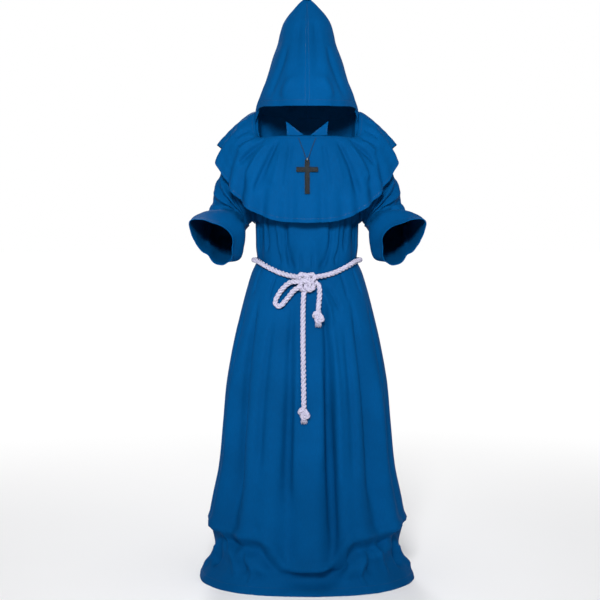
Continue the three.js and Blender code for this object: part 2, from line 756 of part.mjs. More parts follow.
// A whole robe panel: place runs from 0 at the floor to 1 at the armpit and 2 at the shoulder.
function robePanel(face) {
  return (angle, place) => {
    const point =
      place <= 1
        ? robeRow(face > 0 ? angle : 180 - angle, place * ARMPIT_HEIGHT)
        : robeYoke(face, angle, place - 1);
    point.y -= face * HALF_SEAM;
    return point;
  };
}

// The hood: part 0 is at the peak and part 1 at the brim or the neck seam.
function hoodSurface(angle, part) {
  const turn = fromFront(angle);
  const atSeam = turn > HOOD_EDGE_ANGLE;
  const lowest = atSeam ? neckSeam(angle).z + SEAM : rowAt(BRIM_HEIGHTS, "angle", turn).height;
  const height = lerp(PEAK_HEIGHT, lowest, part);
  const share = atSeam ? HOOD_FOLD_FADE.seam : HOOD_FOLD_FADE.brim;
  const fade = smoothstep(part, HOOD_FOLD_FADE.from, 1) * share;
  const offset = openingFolds(HOOD_FOLDS, angle, part) * (1 - fade);
  const point = onRing(rowAt(HOOD, "height", height), HOOD_SQUARENESS, angle, height, offset);
  const seam = neckSeam(angle);
  const pull = smoothstep(part, HOOD_DRAW.from, 1) * smoothstep(turn, HOOD_DRAW.angle, HOOD_EDGE_ANGLE);
  const ring = onRing(rowAt(HOOD, "height", lowest), HOOD_SQUARENESS, angle, lowest);
  point.x += (seam.x - ring.x) * pull;
  point.y += (seam.y - ring.y) * pull;
  return point;
}

function hoodHalf(side) {
  return (turn, part) => {
    const point = hoodSurface(side * turn, part);
    point.x += side * HALF_SEAM;
    return point;
  };
}

// The cape: part 0 is at the neck seam and part 1 at the hem.
function capeSurface(angle, part) {
  const turn = fromFront(angle);
  const top = neckSeam(angle);
  const hemHeight = rowAt(CAPE_HEIGHTS, "angle", turn).height;
  const hem = onRing(CAPE_HEM, CAPE_HEM.squareness, angle, hemHeight);
  const fall = hem.clone().sub(top);
  const level = Math.hypot(fall.x, fall.y);
  const early = clamp(part, 0, 1) ** CAPE_BULGE_EARLY;
  const bulge = 4 * early * (1 - early) * rowAt(CAPE_BULGE, "angle", turn).bulge;
  const out = new THREE.Vector3((-fall.x * fall.z) / level, (-fall.y * fall.z) / level, level).normalize();
  const point = top.addScaledVector(fall, part).addScaledVector(out, bulge);
  const folds = openingFolds(CAPE_FOLDS, angle, part);
  const wide = onRing(CAPE_HEM, CAPE_HEM.squareness, angle, 0, folds);
  const plain = onRing(CAPE_HEM, CAPE_HEM.squareness, angle, 0);
  return point.add(wide.sub(plain));
}

function capePanel(face) {
  return (angle, part) => {
    const point = capeSurface(face > 0 ? angle : 180 - angle, part);
    point.y -= face * HALF_SEAM;
    return point;
  };
}

// The sleeve at the viewer's right. Turn runs round a section: 0 outer side, 90 front side.
function armholePoint(turn) {
  const face = Math.sin(radians(turn)) >= 0 ? 1 : -1;
  const up = THREE.MathUtils.euclideanModulo(turn, 360);
  const part = up <= 180 ? 1 - up / 180 : (up - 180) / 180;
  const point = robeYoke(face, 90, part);
  point.x += SEAM + SLEEVE_EASE;
  return point;
}

function sleeveSurface(turn, part) {
  const first = SLEEVE[0].part;
  const ring = rowAt(SLEEVE, "part", Math.max(part, first));
  const outward = new THREE.Vector3(Math.sin(radians(ring.roll)), 0, Math.cos(radians(ring.roll)));
  const front = new THREE.Vector3(0, -Math.cos(radians(ring.pitch)), Math.sin(radians(ring.pitch)));
  front.addScaledVector(outward, -front.dot(outward)).normalize();
  const cosine = Math.cos(radians(turn));
  const sine = Math.sin(radians(turn));
  const deep = sine > 0 ? ring.front : ring.back;
  const oval = 1 / Math.hypot(cosine / ring.across, sine / deep);
  const whole = THREE.MathUtils.euclideanModulo(turn, 360);
  const cuff = rowAt(CUFF, "angle", whole).reach;
  const inset = rowAt(MOUTH, "angle", whole).inset * smoothstep(part, MOUTH_FROM, 1);
  let reach = lerp(oval, cuff, smoothstep(part, CUFF_BLEND.from, CUFF_BLEND.to)) - inset;
  for (const fold of SLEEVE_FOLDS) {
    const opens = smoothstep(part, fold.start, fold.start + SLEEVE_FOLD_FADE);
    const closes = 1 - smoothstep(part, fold.end - SLEEVE_FOLD_FADE, fold.end);
    reach += fold.depth * hump(turn, fold.angle, fold.width) * opens * closes;
  }
  for (const crease of ELBOW_CREASES) {
    const across = CREASE_DEPTH.middle + CREASE_DEPTH.outer * cosine;
    reach += crease.depth * Math.exp(-(((part - crease.part) / crease.reach) ** 2)) * across;
  }
  const point = new THREE.Vector3(ring.side, -ring.forward, ring.height)
    .addScaledVector(outward, reach * cosine)
    .addScaledVector(front, reach * sine);
  if (part >= first) {
    return point;
  }
  return armholePoint(turn).lerp(point, part / first);
}

function sleeveSide(side) {
  return (turn, part) => {
    const point = sleeveSurface(turn, part);
    point.x *= side;
    return point;
  };
}

// A flap of the neck slit: across runs along its foot, and up runs to its tip.
function flapSide(side) {
  const corner = ({ side: x, forward, height }) => new THREE.Vector3(side * x, -forward, height);
  const [inner, outer, tip] = [FLAP.inner, FLAP.outer, FLAP.tip].map(corner);
  return (across, up) => {
    const foot = inner.clone().lerp(outer, across);
    const high = tip.clone().lerp(inner, FLAP_TIP * (1 - across));
    const point = foot.lerp(high, up);
    point.y -= FLAP_CURL * Math.sin(Math.PI * clamp(up, 0, 1));
    return point;
  };
}

function beltPoints() {
  const angles = evenly(BELT_FROM_KNOT, 360 - BELT_FROM_KNOT, 60);
  return angles.map((angle) => {
    const height = beltHeight(angle);
    const ahead = BELT_AHEAD.most * hump(angle, 0, BELT_AHEAD.within);
    const clear = ROPE / 2 + BELT_CLEAR + ahead;
    const point = robeTube(angle, height);
    const beside = onRing(BELT_RING, ROBE_SQUARENESS, angle, height, clear);
    const plain = onRing(BELT_RING, ROBE_SQUARENESS, angle, height);
    return point.add(beside.sub(plain));
  });
}

// An oval turn of rope round a place: tilt turns it in the picture, and lean brings it out.
function ropeTurn(turn, diameter, sides, steps) {
  const points = evenly(0, 360, steps).map((angle) => {
    const [cosine, sine] = [Math.cos(radians(angle)), Math.sin(radians(angle))];
    const point = new THREE.Vector3(turn.wide * cosine, 0, turn.high * sine);
    point.applyEuler(new THREE.Euler(radians(turn.lean), radians(turn.tilt), 0));
    return point.add(new THREE.Vector3(turn.side, -turn.forward, turn.height));
  });
  const curve = new THREE.CatmullRomCurve3(points.slice(0, steps), true);
  const torus = new THREE.TorusGeometry(1, 0.5, sides, steps);
  const position = torus.attributes.position;
  const point = new THREE.Vector3();
  for (let index = 0; index < position.count; index += 1) {
    point.fromBufferAttribute(position, index);
    const around = Math.atan2(point.y, point.x) / (2 * Math.PI);
    const along = THREE.MathUtils.euclideanModulo(around, 1);
    const centre = curve.getPoint(along);
    const outward = centre.clone().sub(new THREE.Vector3(turn.side, -turn.forward, turn.height)).normalize();
    const across = new THREE.Vector3().crossVectors(curve.getTangent(along), outward).normalize();
    centre.addScaledVector(outward, (Math.hypot(point.x, point.y) - 1) * diameter);
    centre.addScaledVector(across, -point.z * diameter);
    position.setXYZ(index, centre.x, centre.y, centre.z);
  }
  return closedMesh(torus);
}

function knotOf(diameter) {
  const turns = KNOT_TURNS.map((turn) => ropeTurn(turn, diameter, 6, 12));
  return joined(turns).translate(KNOT_CENTRE.side, -KNOT_CENTRE.forward, KNOT_CENTRE.height);
}

// A free end's knot: two crossed turns of the rope, just below the end of its route.
function endKnotAt(end, diameter) {
  const turns = END_KNOT_TURNS.map((turn) => ropeTurn(turn, diameter, 5, 9));
  return joined(turns).translate(end.x, end.y, end.z - END_KNOT_BELOW);
}

// The end knot with the rope's opened strands, rooted in it.
function tuftAt(end) {
  const strands = evenly(0, 1, TUFT.strands - 1).map((share, index) => {
    const turn = index * TUFT.turnStep;
    const out = TUFT.spread * Math.sqrt(share);
    const length = TUFT.length * (1 - TUFT.uneven[index % TUFT.uneven.length]);
    const strand = new THREE.CylinderGeometry(TUFT.thickness / 2, TUFT.thickness / 3, length, 3);
    strand.rotateX(Math.PI / 2);
    strand.rotateY(-TUFT.flare * out * Math.cos(radians(turn)));
    strand.rotateX(-TUFT.flare * out * Math.sin(radians(turn)) * TUFT.flatness);
    strand.translate(
      out * Math.cos(radians(turn)) * TUFT.wideness,
      out * Math.sin(radians(turn)) * TUFT.flatness,
      -END_KNOT_BELOW - TUFT.root - length / 2,
    );
    return strand.translate(end.x, end.y, end.z);
  });
  return joined([endKnotAt(end, ROPE), ...strands]);
}

// The piece less the room that a neighbour needs.
function cutBy(geometry, room) {
  return largestBody(manifoldOf(geometry).subtract(manifoldOf(room)));
}

function pendantRing() {
  const ring = new THREE.TorusGeometry(RING.radius, RING.wire, 6, 18);
  ring.rotateY(Math.PI / 2);
  const middle = PENDANT.height - RING.radius + RING.wire + CORD / 2 + SEAM;
  return closedMesh(ring.translate(0, -PENDANT.forward, middle));
}

function pendantCross() {
  const { width, length, bar, thickness, barBelowTop, holeBelowTop } = CROSS;
  const half = bar / 2;
  const outline = new THREE.Shape([
    new THREE.Vector2(-half, 0),
    new THREE.Vector2(-half, -barBelowTop + half),
    new THREE.Vector2(-width / 2, -barBelowTop + half),
    new THREE.Vector2(-width / 2, -barBelowTop - half),
    new THREE.Vector2(-half, -barBelowTop - half),
    new THREE.Vector2(-half, -length),
    new THREE.Vector2(half, -length),
    new THREE.Vector2(half, -barBelowTop - half),
    new THREE.Vector2(width / 2, -barBelowTop - half),
    new THREE.Vector2(width / 2, -barBelowTop + half),
    new THREE.Vector2(half, -barBelowTop + half),
    new THREE.Vector2(half, 0),
  ]);
  const hole = new THREE.Path();
  hole.absarc(0, -holeBelowTop, CROSS.holeRadius, 0, 2 * Math.PI, true);
  outline.holes.push(hole);
  const settings = { depth: thickness, bevelEnabled: false, curveSegments: 8 };
  const cross = new THREE.ExtrudeGeometry(outline, settings);
  cross.translate(0, holeBelowTop, -thickness / 2);
  cross.rotateX(Math.PI / 2);
  cross.rotateX(radians(-CROSS.tilt));
  const ringLow = PENDANT.height - 2 * RING.radius + RING.wire + CORD / 2 + SEAM;
  const rise = RING.radius - Math.sqrt(RING.radius ** 2 - (thickness / 2) ** 2);
  const slack = CROSS.holeRadius - RING.wire - rise - 3 * SEAM;
  return closedMesh(cross.translate(0, -PENDANT.forward, ringLow - slack));
}

const ropeMaterial = new THREE.MeshStandardMaterial({ color: ROPE_WHITE, roughness: 0.85, metalness: 0 });
const blueMaterial = new THREE.MeshStandardMaterial({ color: ROYAL_BLUE, roughness: 0.7, metalness: 0 });
const darkMetal = new THREE.MeshStandardMaterial({ color: DARK_METAL, roughness: 0.45, metalness: 0.9 });
const silverMetal = new THREE.MeshStandardMaterial({ color: SILVER, roughness: 0.25, metalness: 1 });
const cordMaterial = new THREE.MeshStandardMaterial({ color: CORD_DARK, roughness: 0.8, metalness: 0 });

const costume = new THREE.Group();
const worn = new THREE.Group();
worn.position.z = -SHOULDER_HEIGHT;
costume.add(worn);

function add(name, geometry, material) {
  const mesh = new THREE.Mesh(geometry, material);
  mesh.name = name;
  worn.add(mesh);
}

const robeRows = [
  ...ROBE_LEVELS.map((level) => level / ARMPIT_HEIGHT),
  ...YOKE_PARTS.map((part) => 1 + part),
];
const robeFront = clothWall(robePanel(1), evenly(-90, 90, 32), robeRows, { trim: trimPanel(1) });
const robeBack = clothWall(robePanel(-1), evenly(-90, 90, 32), robeRows, { facing: -1, trim: trimPanel(-1) });
add("robe_front", robeFront, blueMaterial);
add("robe_back", robeBack, blueMaterial);

for (const [name, side] of [
  ["right", 1],
  ["left", -1],
]) {
  const sleeve = clothWall(sleeveSide(side), evenly(0, 360, 22), SLEEVE_PARTS, {
    facing: side,
    closed: true,
    trim: trimArmhole,
  });
  const hood = clothWall(hoodHalf(side), evenly(0, 180, 24), HOOD_PARTS, {
    facing: -side,
    tip: true,
    trim: trimHalf(side),
  });
  add("sleeve_" + name, sleeve, blueMaterial);
  add("hood_" + name, hood, blueMaterial);
  const flap = clothWall(flapSide(side), evenly(0, 1, 4), evenly(0, 1, 4), { facing: side });
  add("collar_flap_" + name, flap, blueMaterial);
}

const capeAngles = evenly(-90, 90, 48);
const capeFront = clothWall(capePanel(1), capeAngles, CAPE_PARTS, { facing: -1, trim: trimPanel(1) });
const capeBack = clothWall(capePanel(-1), capeAngles, CAPE_PARTS, { trim: trimPanel(-1) });
add("cape_front", capeFront, blueMaterial);
add("cape_back", capeBack, blueMaterial);

const knot = knotOf(ROPE);
const knotRoom = knotOf(ROPE + 2 * SEAM);
const beltTube = tubeAlong(beltPoints(), ROPE, 8, 42);
add("belt", cutBy(beltTube, knotRoom), ropeMaterial);
add("belt_knot", knot, ropeMaterial);
add("belt_loop", cutBy(tubeAlong(routePoints(LOOP_ROUTE), ROPE, 8, 22), knotRoom), ropeMaterial);
for (const [name, route, steps] of [
  ["long", LONG_ROUTE, 14],
  ["short", SHORT_ROUTE, 8],
]) {
  const end = routePoints(route).pop();
  const tube = cutBy(tubeAlong(routePoints(route), ROPE, 8, steps), knotRoom);
  add("belt_end_" + name, cutBy(tube, endKnotAt(end, ROPE + 2 * SEAM)), ropeMaterial);
  add("belt_tuft_" + name, tuftAt(end), ropeMaterial);
}

add("pendant_cord", tubeAlong(routePoints(CORD_ROUTE), CORD, 8, 23), cordMaterial);
add("pendant_ring", pendantRing(), silverMetal);
add("cross", pendantCross(), darkMetal);

export default costume;
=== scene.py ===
"""A monk costume as it is worn: hooded robe, shoulder cape, rope belt and cross pendant.

The tables below are in millimetres, with heights above the floor and angles in degrees from the
front towards +X. The meshes are in metres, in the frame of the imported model, whose origin lies
between the shoulders.
"""

import math
import random

import bmesh
import bpy
import numpy as np
from mathutils import Euler, Matrix, Vector


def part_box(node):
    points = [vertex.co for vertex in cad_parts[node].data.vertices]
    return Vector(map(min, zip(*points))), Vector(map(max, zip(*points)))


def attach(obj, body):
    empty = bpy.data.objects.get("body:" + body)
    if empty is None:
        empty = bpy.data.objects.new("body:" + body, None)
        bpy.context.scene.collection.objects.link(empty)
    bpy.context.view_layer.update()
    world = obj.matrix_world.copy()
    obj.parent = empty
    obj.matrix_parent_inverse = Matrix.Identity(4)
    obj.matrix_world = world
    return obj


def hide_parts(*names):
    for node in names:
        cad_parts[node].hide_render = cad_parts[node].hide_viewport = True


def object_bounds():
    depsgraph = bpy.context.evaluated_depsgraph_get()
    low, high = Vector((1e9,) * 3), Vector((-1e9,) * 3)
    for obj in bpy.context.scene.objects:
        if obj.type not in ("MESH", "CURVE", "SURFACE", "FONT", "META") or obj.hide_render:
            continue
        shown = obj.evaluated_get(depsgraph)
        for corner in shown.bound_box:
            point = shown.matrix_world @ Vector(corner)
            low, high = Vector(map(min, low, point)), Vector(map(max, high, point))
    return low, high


bl_info = {
    "name": "Monk costume",
    "version": (1, 0, 0),
    "blender": (4, 5, 0),
    "location": "View3D > Sidebar > Costume",
    "description": "Builds a hooded robe with a shoulder cape, a rope belt and a cross pendant",
    "category": "Add Mesh",
}

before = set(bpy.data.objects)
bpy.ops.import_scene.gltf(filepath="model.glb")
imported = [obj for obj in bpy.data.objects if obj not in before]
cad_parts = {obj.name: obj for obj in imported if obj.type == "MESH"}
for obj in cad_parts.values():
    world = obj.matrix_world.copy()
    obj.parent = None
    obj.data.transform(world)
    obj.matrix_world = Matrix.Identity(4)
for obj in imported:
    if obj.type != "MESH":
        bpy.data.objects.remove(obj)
CAD_BOX = [list(corner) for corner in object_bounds()]
FLOOR = CAD_BOX[0][2]

MM = 0.001
GARMENT = "garment"
PENDANT_BODY = "pendant"
BLACK = (0.0, 0.0, 0.0, 1.0)
WHITE = (1.0, 1.0, 1.0, 1.0)

PEAK_HEIGHT = 1840
ARMPIT_HEIGHT = 1120
SIDES = {"right": 1, "left": -1}
FACES = {"front": 1, "back": -1}


def table(names, *rows):
    """A table with named columns, one tuple a row."""
    values = np.array(rows, dtype=float)
    return {name: values[:, index] for index, name in enumerate(names.split())}


def on_both_sides(*creases):
    """Creases placed on one side, and then their mirror images on the other."""
    mirrored = [
        (width, depth, *[(-across, down) for across, down in points]) for width, depth, *points in creases
    ]
    return (*creases, *mirrored)


# The robe's sections below the armpit, from the floor up.
ROBE = table(
    "height side front back",
    (0, 338, 249, 236),
    (14, 334, 246, 232),
    (45, 314, 236, 222),
    (80, 296, 227, 213),
    (112, 292, 225, 209),
    (150, 302, 230, 212),
    (190, 310, 231, 214),
    (240, 303, 225, 210),
    (348, 282, 213, 199),
    (495, 268, 196, 184),
    (616, 257, 181, 170),
    (741, 235, 164, 155),
    (839, 212, 150, 143),
    (916, 191, 138, 130),
    (970, 175, 128, 120),
    (1006, 165, 122, 113),
    (1060, 163, 127, 114),
    (1120, 164, 133, 117),
)
ROBE_SQUARENESS = 0.88

# Where the skirt breaks over the hem that lies on the floor.
BREAK = table(
    "angle height",
    (0, 78),
    (28, 88),
    (50, 150),
    (72, 186),
    (100, 190),
    (140, 130),
    (180, 105),
)
BREAK_ROW = 190
BREAK_FADE = 420
FOLD_FADE = {"top": 0.45, "below": 60, "above": 90}

# Folds that hang down from a top height to a bottom height: a trough has a negative depth.
SKIRT_FOLDS = table(
    "angle width depth top bottom",
    (-49, 6.5, -24, 840, 120),
    (-37, 6, 9, 760, 60),
    (-22, 6, 8, 640, 20),
    (-9.5, 5, -17, 720, 60),
    (3, 5, 7, 700, 20),
    (12.5, 4.6, -22, 800, 50),
    (20, 5, 9, 760, 20),
    (31, 6, 8, 700, 60),
    (45, 6.5, -22, 860, 120),
    (59, 6, 10, 780, 120),
    (73, 6, -14, 700, 180),
    (-66, 7, 11, 800, 120),
    (-78, 5, -12, 720, 180),
    (104, 7, -16, 800, 150),
    (122, 7, -22, 880, 90),
    (140, 6, 9, 760, 60),
    (153, 6, -20, 820, 60),
    (172, 6, -23, 900, 40),
    (-162, 7, 10, 700, 30),
    (-146, 6, -21, 860, 60),
    (-124, 7, -24, 900, 100),
    (-105, 6, -15, 760, 150),
)
HEM_WAVES = table(
    "angle width depth top bottom",
    (-93, 7, 12, 70, 0),
    (86, 7, 8, 70, 0),
    (-62, 8, -9, 120, 0),
    (58, 8, -8, 120, 0),
    (-34, 8, 6, 90, 0),
    (33, 8, 6, 90, 0),
    (125, 8, -10, 120, 0),
    (-130, 9, -9, 120, 0),
    (180, 10, 6, 90, 0),
)
BODICE_FOLDS = table(
    "angle width depth top bottom",
    (-62, 6, -9, 1190, 1012),
    (-31, 6, -8, 1130, 985),
    (-15, 5, -7, 1080, 960),
    (14, 5, -8, 1090, 960),
    (35, 6, -8, 1140, 990),
    (64, 6, -9, 1190, 1012),
    (118, 7, -9, 1200, 1012),
    (150, 6, -8, 1150, 1012),
    (176, 6, -8, 1180, 1012),
    (-148, 6, -9, 1150, 1012),
    (-116, 7, -9, 1200, 1012),
)

# The belt lies level round the back and dips to the knot in front.
BELT_HEIGHT = 1006
BELT_DIP = 52
BELT_FROM_KNOT = 6
BELT_POINTS = 61
BELT_CLEAR = 2.1
BELT_AHEAD = {"most": 15, "within": 13}
BELT_RING = {"side": 165, "front": 125, "back": 114}
WAIST_PINCH = {"depth": 6, "reach": 26}
WAIST_ROWS = {"low": 820, "full": 970, "leave": 1042}

# The neck seam joins hood, cape and robe.
NECK = {"side": 165, "front": 130, "back": 110}
NECK_SQUARENESS = 0.67
NECK_HEIGHTS = table(
    "angle height",
    (0, 1391),
    (30, 1390),
    (52, 1388),
    (66, 1400),
    (78, 1436),
    (92, 1478),
    (130, 1475),
    (180, 1470),
)
HOOD_EDGE_ANGLE = 75
HOOD_EDGE_BLEND = 5

ARMHOLE = {"bulge": 64, "lean": 24, "lowness": 0.66, "spread": 6}
SHOULDER_POINT = 1438
SHOULDER_ANGLE = 67.5
YOKE_ROUNDING = 0.9
NECKLINE = table(
    "angle inset drop",
    (0, 3, 2),
    (45, 3.6, 3),
    (70, 7.5, 12),
    (90, 6.6, 8.6),
    (125, 3.3, 2.5),
    (180, 2.9, 1.8),
)

CAPE_HEM = {"side": 280, "front": 184, "back": 178}
CAPE_SQUARENESS = 0.8
CAPE_HEIGHTS = table(
    "angle height",
    (0, 1120),
    (15, 1127),
    (30, 1152),
    (45, 1188),
    (60, 1236),
    (70, 1272),
    (78, 1311),
    (87, 1352),
    (96, 1375),
    (110, 1340),
    (130, 1268),
    (155, 1208),
    (180, 1190),
)
CAPE_BULGE = table(
    "angle bulge",
    (0, 10),
    (40, 20),
    (58, 31),
    (76, 30),
    (90, 12),
    (106, 17),
    (135, 26),
    (180, 14),
)
CAPE_BULGE_EARLY = 0.66
CAPE_FOLDS = table(
    "angle width depth start",
    (0, 3.6, 4, 0),
    (-6.4, 2.4, -9, 0.05),
    (6.4, 2.4, -9, 0.05),
    (-15, 4, -9, 0.4),
    (19, 4, -10, 0.35),
    (-26, 4.5, -16, 0.1),
    (31, 5, -13, 0.15),
    (-36, 5, 7, 0.2),
    (-46, 5, -20, 0.05),
    (45, 5, -17, 0.1),
    (59, 4.5, -15, 0.05),
    (-63, 4.5, -13, 0.1),
    (-78, 4.5, 15, 0.1),
    (78, 4.5, 15, 0.1),
    (-87, 4, -15, 0.2),
    (87, 4, -15, 0.2),
    (-97, 5, 11, 0.2),
    (97, 5, 11, 0.2),
    (-110, 5, -15, 0.2),
    (112, 5, -15, 0.2),
    (-124, 5, 10, 0.3),
    (127, 5, 9, 0.3),
    (-138, 5, -17, 0.15),
    (140, 5, -15, 0.15),
    (-156, 5, -13, 0.25),
    (158, 5, -15, 0.2),
    (176, 5, -12, 0.3),
)

# The hood's sections from the brim up to the peak.
HOOD = table(
    "height side front back",
    (1380, 166, 176, 112),
    (1440, 158, 206, 113),
    (1474, 149, 215, 116),
    (1500, 146, 213, 119),
    (1545, 139, 203, 122),
    (1591, 126, 184, 121),
    (1643, 110, 156, 118),
    (1691, 93, 124, 110),
    (1727, 85, 100, 100),
    (1757, 76, 78, 90),
    (1783, 60, 52, 72),
    (1806, 41, 28, 56),
    (1824, 25, 8, 42),
    (1835, 12, -6, 31),
    (1840, 0, -18, 18),
)
HOOD_SQUARENESS = 0.86
HOOD_FOLD_FADE = {"from": 0.86, "seam": 1, "brim": 0.4}
HOOD_DRAW = {"from": 0.72, "angle": 62}
BRIM_HEIGHTS = table(
    "angle height",
    (0, 1473),
    (40, 1477),
    (56, 1481),
    (66, 1482),
    (71, 1474),
    (75, 1440),
)
HOOD_FOLDS = table(
    "angle width depth start",
    (0, 5, 5, 0.15),
    (-34, 9, -7, 0.35),
    (34, 9, -7, 0.35),
    (-66, 8, 6, 0.5),
    (66, 8, 6, 0.5),
    (-112, 9, -9, 0.4),
    (112, 9, -9, 0.4),
    (-146, 9, -8, 0.5),
    (146, 9, -8, 0.5),
)

# Sleeve sections from the armhole to the cuff: the roll turns a section's outer side from up to
# sideways, and the pitch turns its front side from forward to up.
SLEEVE = table(
    "part side forward height roll pitch across front back",
    (0.14, 205, -2, 1263, 12, 0, 138, 78, 80),
    (0.3, 226, -2, 1218, 22, 5, 110, 76, 80),
    (0.44, 242, -2, 1168, 46, 15, 80, 74, 80),
    (0.56, 251, 20, 1134, 70, 35, 67, 72, 84),
    (0.68, 255, 75, 1110, 88, 62, 62, 64, 80),
    (0.8, 260, 155, 1093, 90, 78, 65, 62, 78),
    (0.91, 265, 245, 1078, 90, 86, 73, 68, 79),
    (1, 267, 322, 1068, 90, 90, 80, 74, 74),
)
CUFF = table(
    "angle reach",
    (0, 66),
    (20, 81),
    (35, 97),
    (52, 90),
    (74, 82),
    (101, 77),
    (127, 78),
    (154, 78),
    (180, 77),
    (206, 82),
    (226, 90),
    (245, 82),
    (270, 71),
    (299, 56),
    (335, 57),
    (360, 66),
)
MOUTH = table(
    "angle inset",
    (0, 0),
    (35, 0),
    (52, 12),
    (74, 28),
    (101, 32),
    (127, 34),
    (154, 32),
    (180, 28),
    (206, 30),
    (226, 27),
    (242, 12),
    (258, 0),
    (360, 0),
)
MOUTH_FROM = 0.88
SLEEVE_GAP = 0.5
CUFF_BLEND = {"from": 0.66, "to": 0.94}
SLEEVE_FOLD_FADE = 0.12
CREASE_DEPTH = {"middle": 0.55, "outer": 0.45}
SLEEVE_FOLDS = table(
    "angle width depth start end",
    (62, 13, -7, 0.42, 0.9),
    (100, 14, -9, 0.4, 0.84),
    (140, 13, -7, 0.44, 0.95),
    (232, 15, 6, 0.5, 1.1),
    (300, 14, -6, 0.6, 1.1),
)
ELBOW_CREASES = table(
    "part reach depth",
    (0.36, 0.035, -6),
    (0.49, 0.03, -9),
    (0.62, 0.035, -5),
)

FLAP = {"inner": (10, -130.2, 1391.7), "outer": (62, -127.8, 1391.2), "tip": (65, -119, 1436)}
FLAP_TIP = 0.1
FLAP_CURL = 4

# Routes of the free rope and the cord: side, forward and height of points along each.
LOOP_ROUTE = (
    (-24, 158, 940),
    (-36, 157, 941),
    (-50, 152, 939),
    (-63, 147, 931),
    (-76, 144, 918),
    (-88, 142, 901),
    (-96, 142, 885),
    (-97, 143.5, 873),
    (-90, 146.5, 866),
    (-81, 149.5, 867),
    (-71, 150.5, 877),
    (-60, 151, 890),
    (-50, 153, 903),
    (-40, 155, 914),
    (-30, 157, 921),
    (-22, 158, 926),
)
LONG_ROUTE = (
    (-10, 160, 909),
    (-11, 160, 898),
    (-12, 160, 884),
    (-12.5, 160, 864),
    (-13, 161, 840),
    (-13, 164, 812),
    (-13, 168.5, 782),
    (-13, 173, 750),
    (-12.5, 177.5, 716),
    (-12, 182, 682),
    (-11.5, 187, 648),
    (-11, 192, 616),
    (-10.5, 198, 585),
    (-10, 206, 556),
)
SHORT_ROUTE = (
    (24, 156, 938),
    (31, 155, 934),
    (36, 152, 925),
    (38, 150, 912),
    (38, 151, 899),
    (37, 153, 886),
    (35.5, 157, 872),
    (34.5, 162, 858),
    (34, 167, 846),
)
CORD_SIDE = (
    (-28, 134.2, 1384.2),
    (-24, 140, 1376),
    (-19.5, 145.5, 1364),
    (-15, 150.5, 1352),
    (-10.5, 155, 1340),
    (-7, 159.5, 1329),
    (-3.6, 163.4, 1319.6),
)
CORD_LOWEST = (0, 164, 1318)
CORD_ROUTE = (*CORD_SIDE, CORD_LOWEST, *[(-side, ahead, height) for side, ahead, height in reversed(CORD_SIDE)])
CORD_STEP = 0.9

KNOT_CENTRE = (-1, -149, 938)
KNOT_TURNS = table(
    "side height forward wide high tilt lean",
    (-9, 13, 1, 15, 10, 32, 12),
    (9, 12, 3, 15, 10, -35, -14),
    (-6, -10, 5, 14, 15, -8, 20),
    (10, -8, 2, 12, 15, 12, -20),
)
END_KNOT_TURNS = table(
    "side height forward wide high tilt lean",
    (-3, 3, 0, 9, 6, 24, 20),
    (3, -7, 1, 9, 6, -22, -16),
)
END_KNOT_BELOW = 12

# How ropes, knots and the frayed ends are drawn: lengths and widths as a range, the turn from one yarn
# to the next in degrees.
KNOT_STEPS = 14
STRAND_FULLNESS = 1.08
SPLINE_STEPS = 32
TUFT = {"length": 30, "spread": 7.2, "flatness": 0.6, "flare": 0.42, "below": 4}
TUFT_STRANDS = {"count": 70, "turn": 137.5, "drift": 1.6, "steps": 6, "lay": 14}
TUFT_LENGTHS = (0.72, 0.98)
TUFT_WIDTHS = (1.5, 2.3)

CROSS = {"width": 67, "length": 107, "bar": 15, "thickness": 4, "bar_below_top": 31, "hole_below_top": 4.4}
CROSS_TILT = 9.4
CROSS_HOLE_RADIUS = 2.2
CROSS_DRILL = {"sides": 28, "depth": 3}
CROSS_EDGE = {"bevel": 0.55, "segments": 3, "sharper": 40, "smooth": 32}
CROSS_BORDER = {"width": 2.2, "slope": 0.4, "depth": 0.45}
RING = {"radius": 5.6, "wire": 0.9}
RING_FACES = {"round": 14, "steps": 48, "angle": 346}

# The stage, in metres: the lights, and how far from the costume the floor begins to glow. The walls
# fade by the height of the direction, and the camera's sensor is in millimetres.
LIGHTS = {
    "key": {"place": (-0.25, -3.9, 0.9), "target": (0, 0, -0.24), "size": 0.7, "spread": 70},
    "top": {"place": (0.3, -0.8, 2.8), "target": (0, 0, 0), "size": 1.6, "spread": 180},
    "back": {"place": (-0.6, 3.7, 2.3), "target": (0, 0, -0.3), "size": 1.2, "spread": 180},
}
WALLS = {"From Min": 0.3, "From Max": 0.6}
FLOOR_SIZE = 400
FLOOR_GLOW = {"From Min": 0.5, "From Max": 3.6, "To Min": 0.0, "To Max": 1.0}
SENSOR_WIDTH = 36
FRAME_PIXELS = 600

# Where the cloth's rows lie close together: millimetres from the edge or from the seam.
ROBE_HEM_ROWS = (0, 1.2, 3, 6, 11, 16, 19.5, 21, 22.5, 24, 28, 34)
CUFF_ROWS = (44, 36, 30, 27, 25.5, 24, 22.5, 21, 19.5, 16, 11, 6, 3, 1.2, 0)
HOOD_EDGE_ROWS = (30, 26, 24, 22.5, 21, 19.5, 18, 14, 9, 5, 2.5, 1, 0)
CAPE_SEAM_ROWS = (0, 1, 2.5, 5, 8, 12)
CAPE_HEM_ROWS = (26, 22, 19, 17.5, 16, 14.5, 13, 10, 6, 3, 1, 0)

# Steps between columns, in degrees, and between rows, in millimetres or as a share of the way down.
ROBE_STEPS = {"column": 1.05, "row": 7.4, "from": 40, "yoke": 0.028}
SLEEVE_STEPS = {"columns": 120, "row": 0.0095}
HOOD_STEPS = {"column": 1.5, "row": 0.014}
CAPE_STEPS = {"column": 0.9, "row": 0.019, "from": 16}
FLAP_PLACES = 25

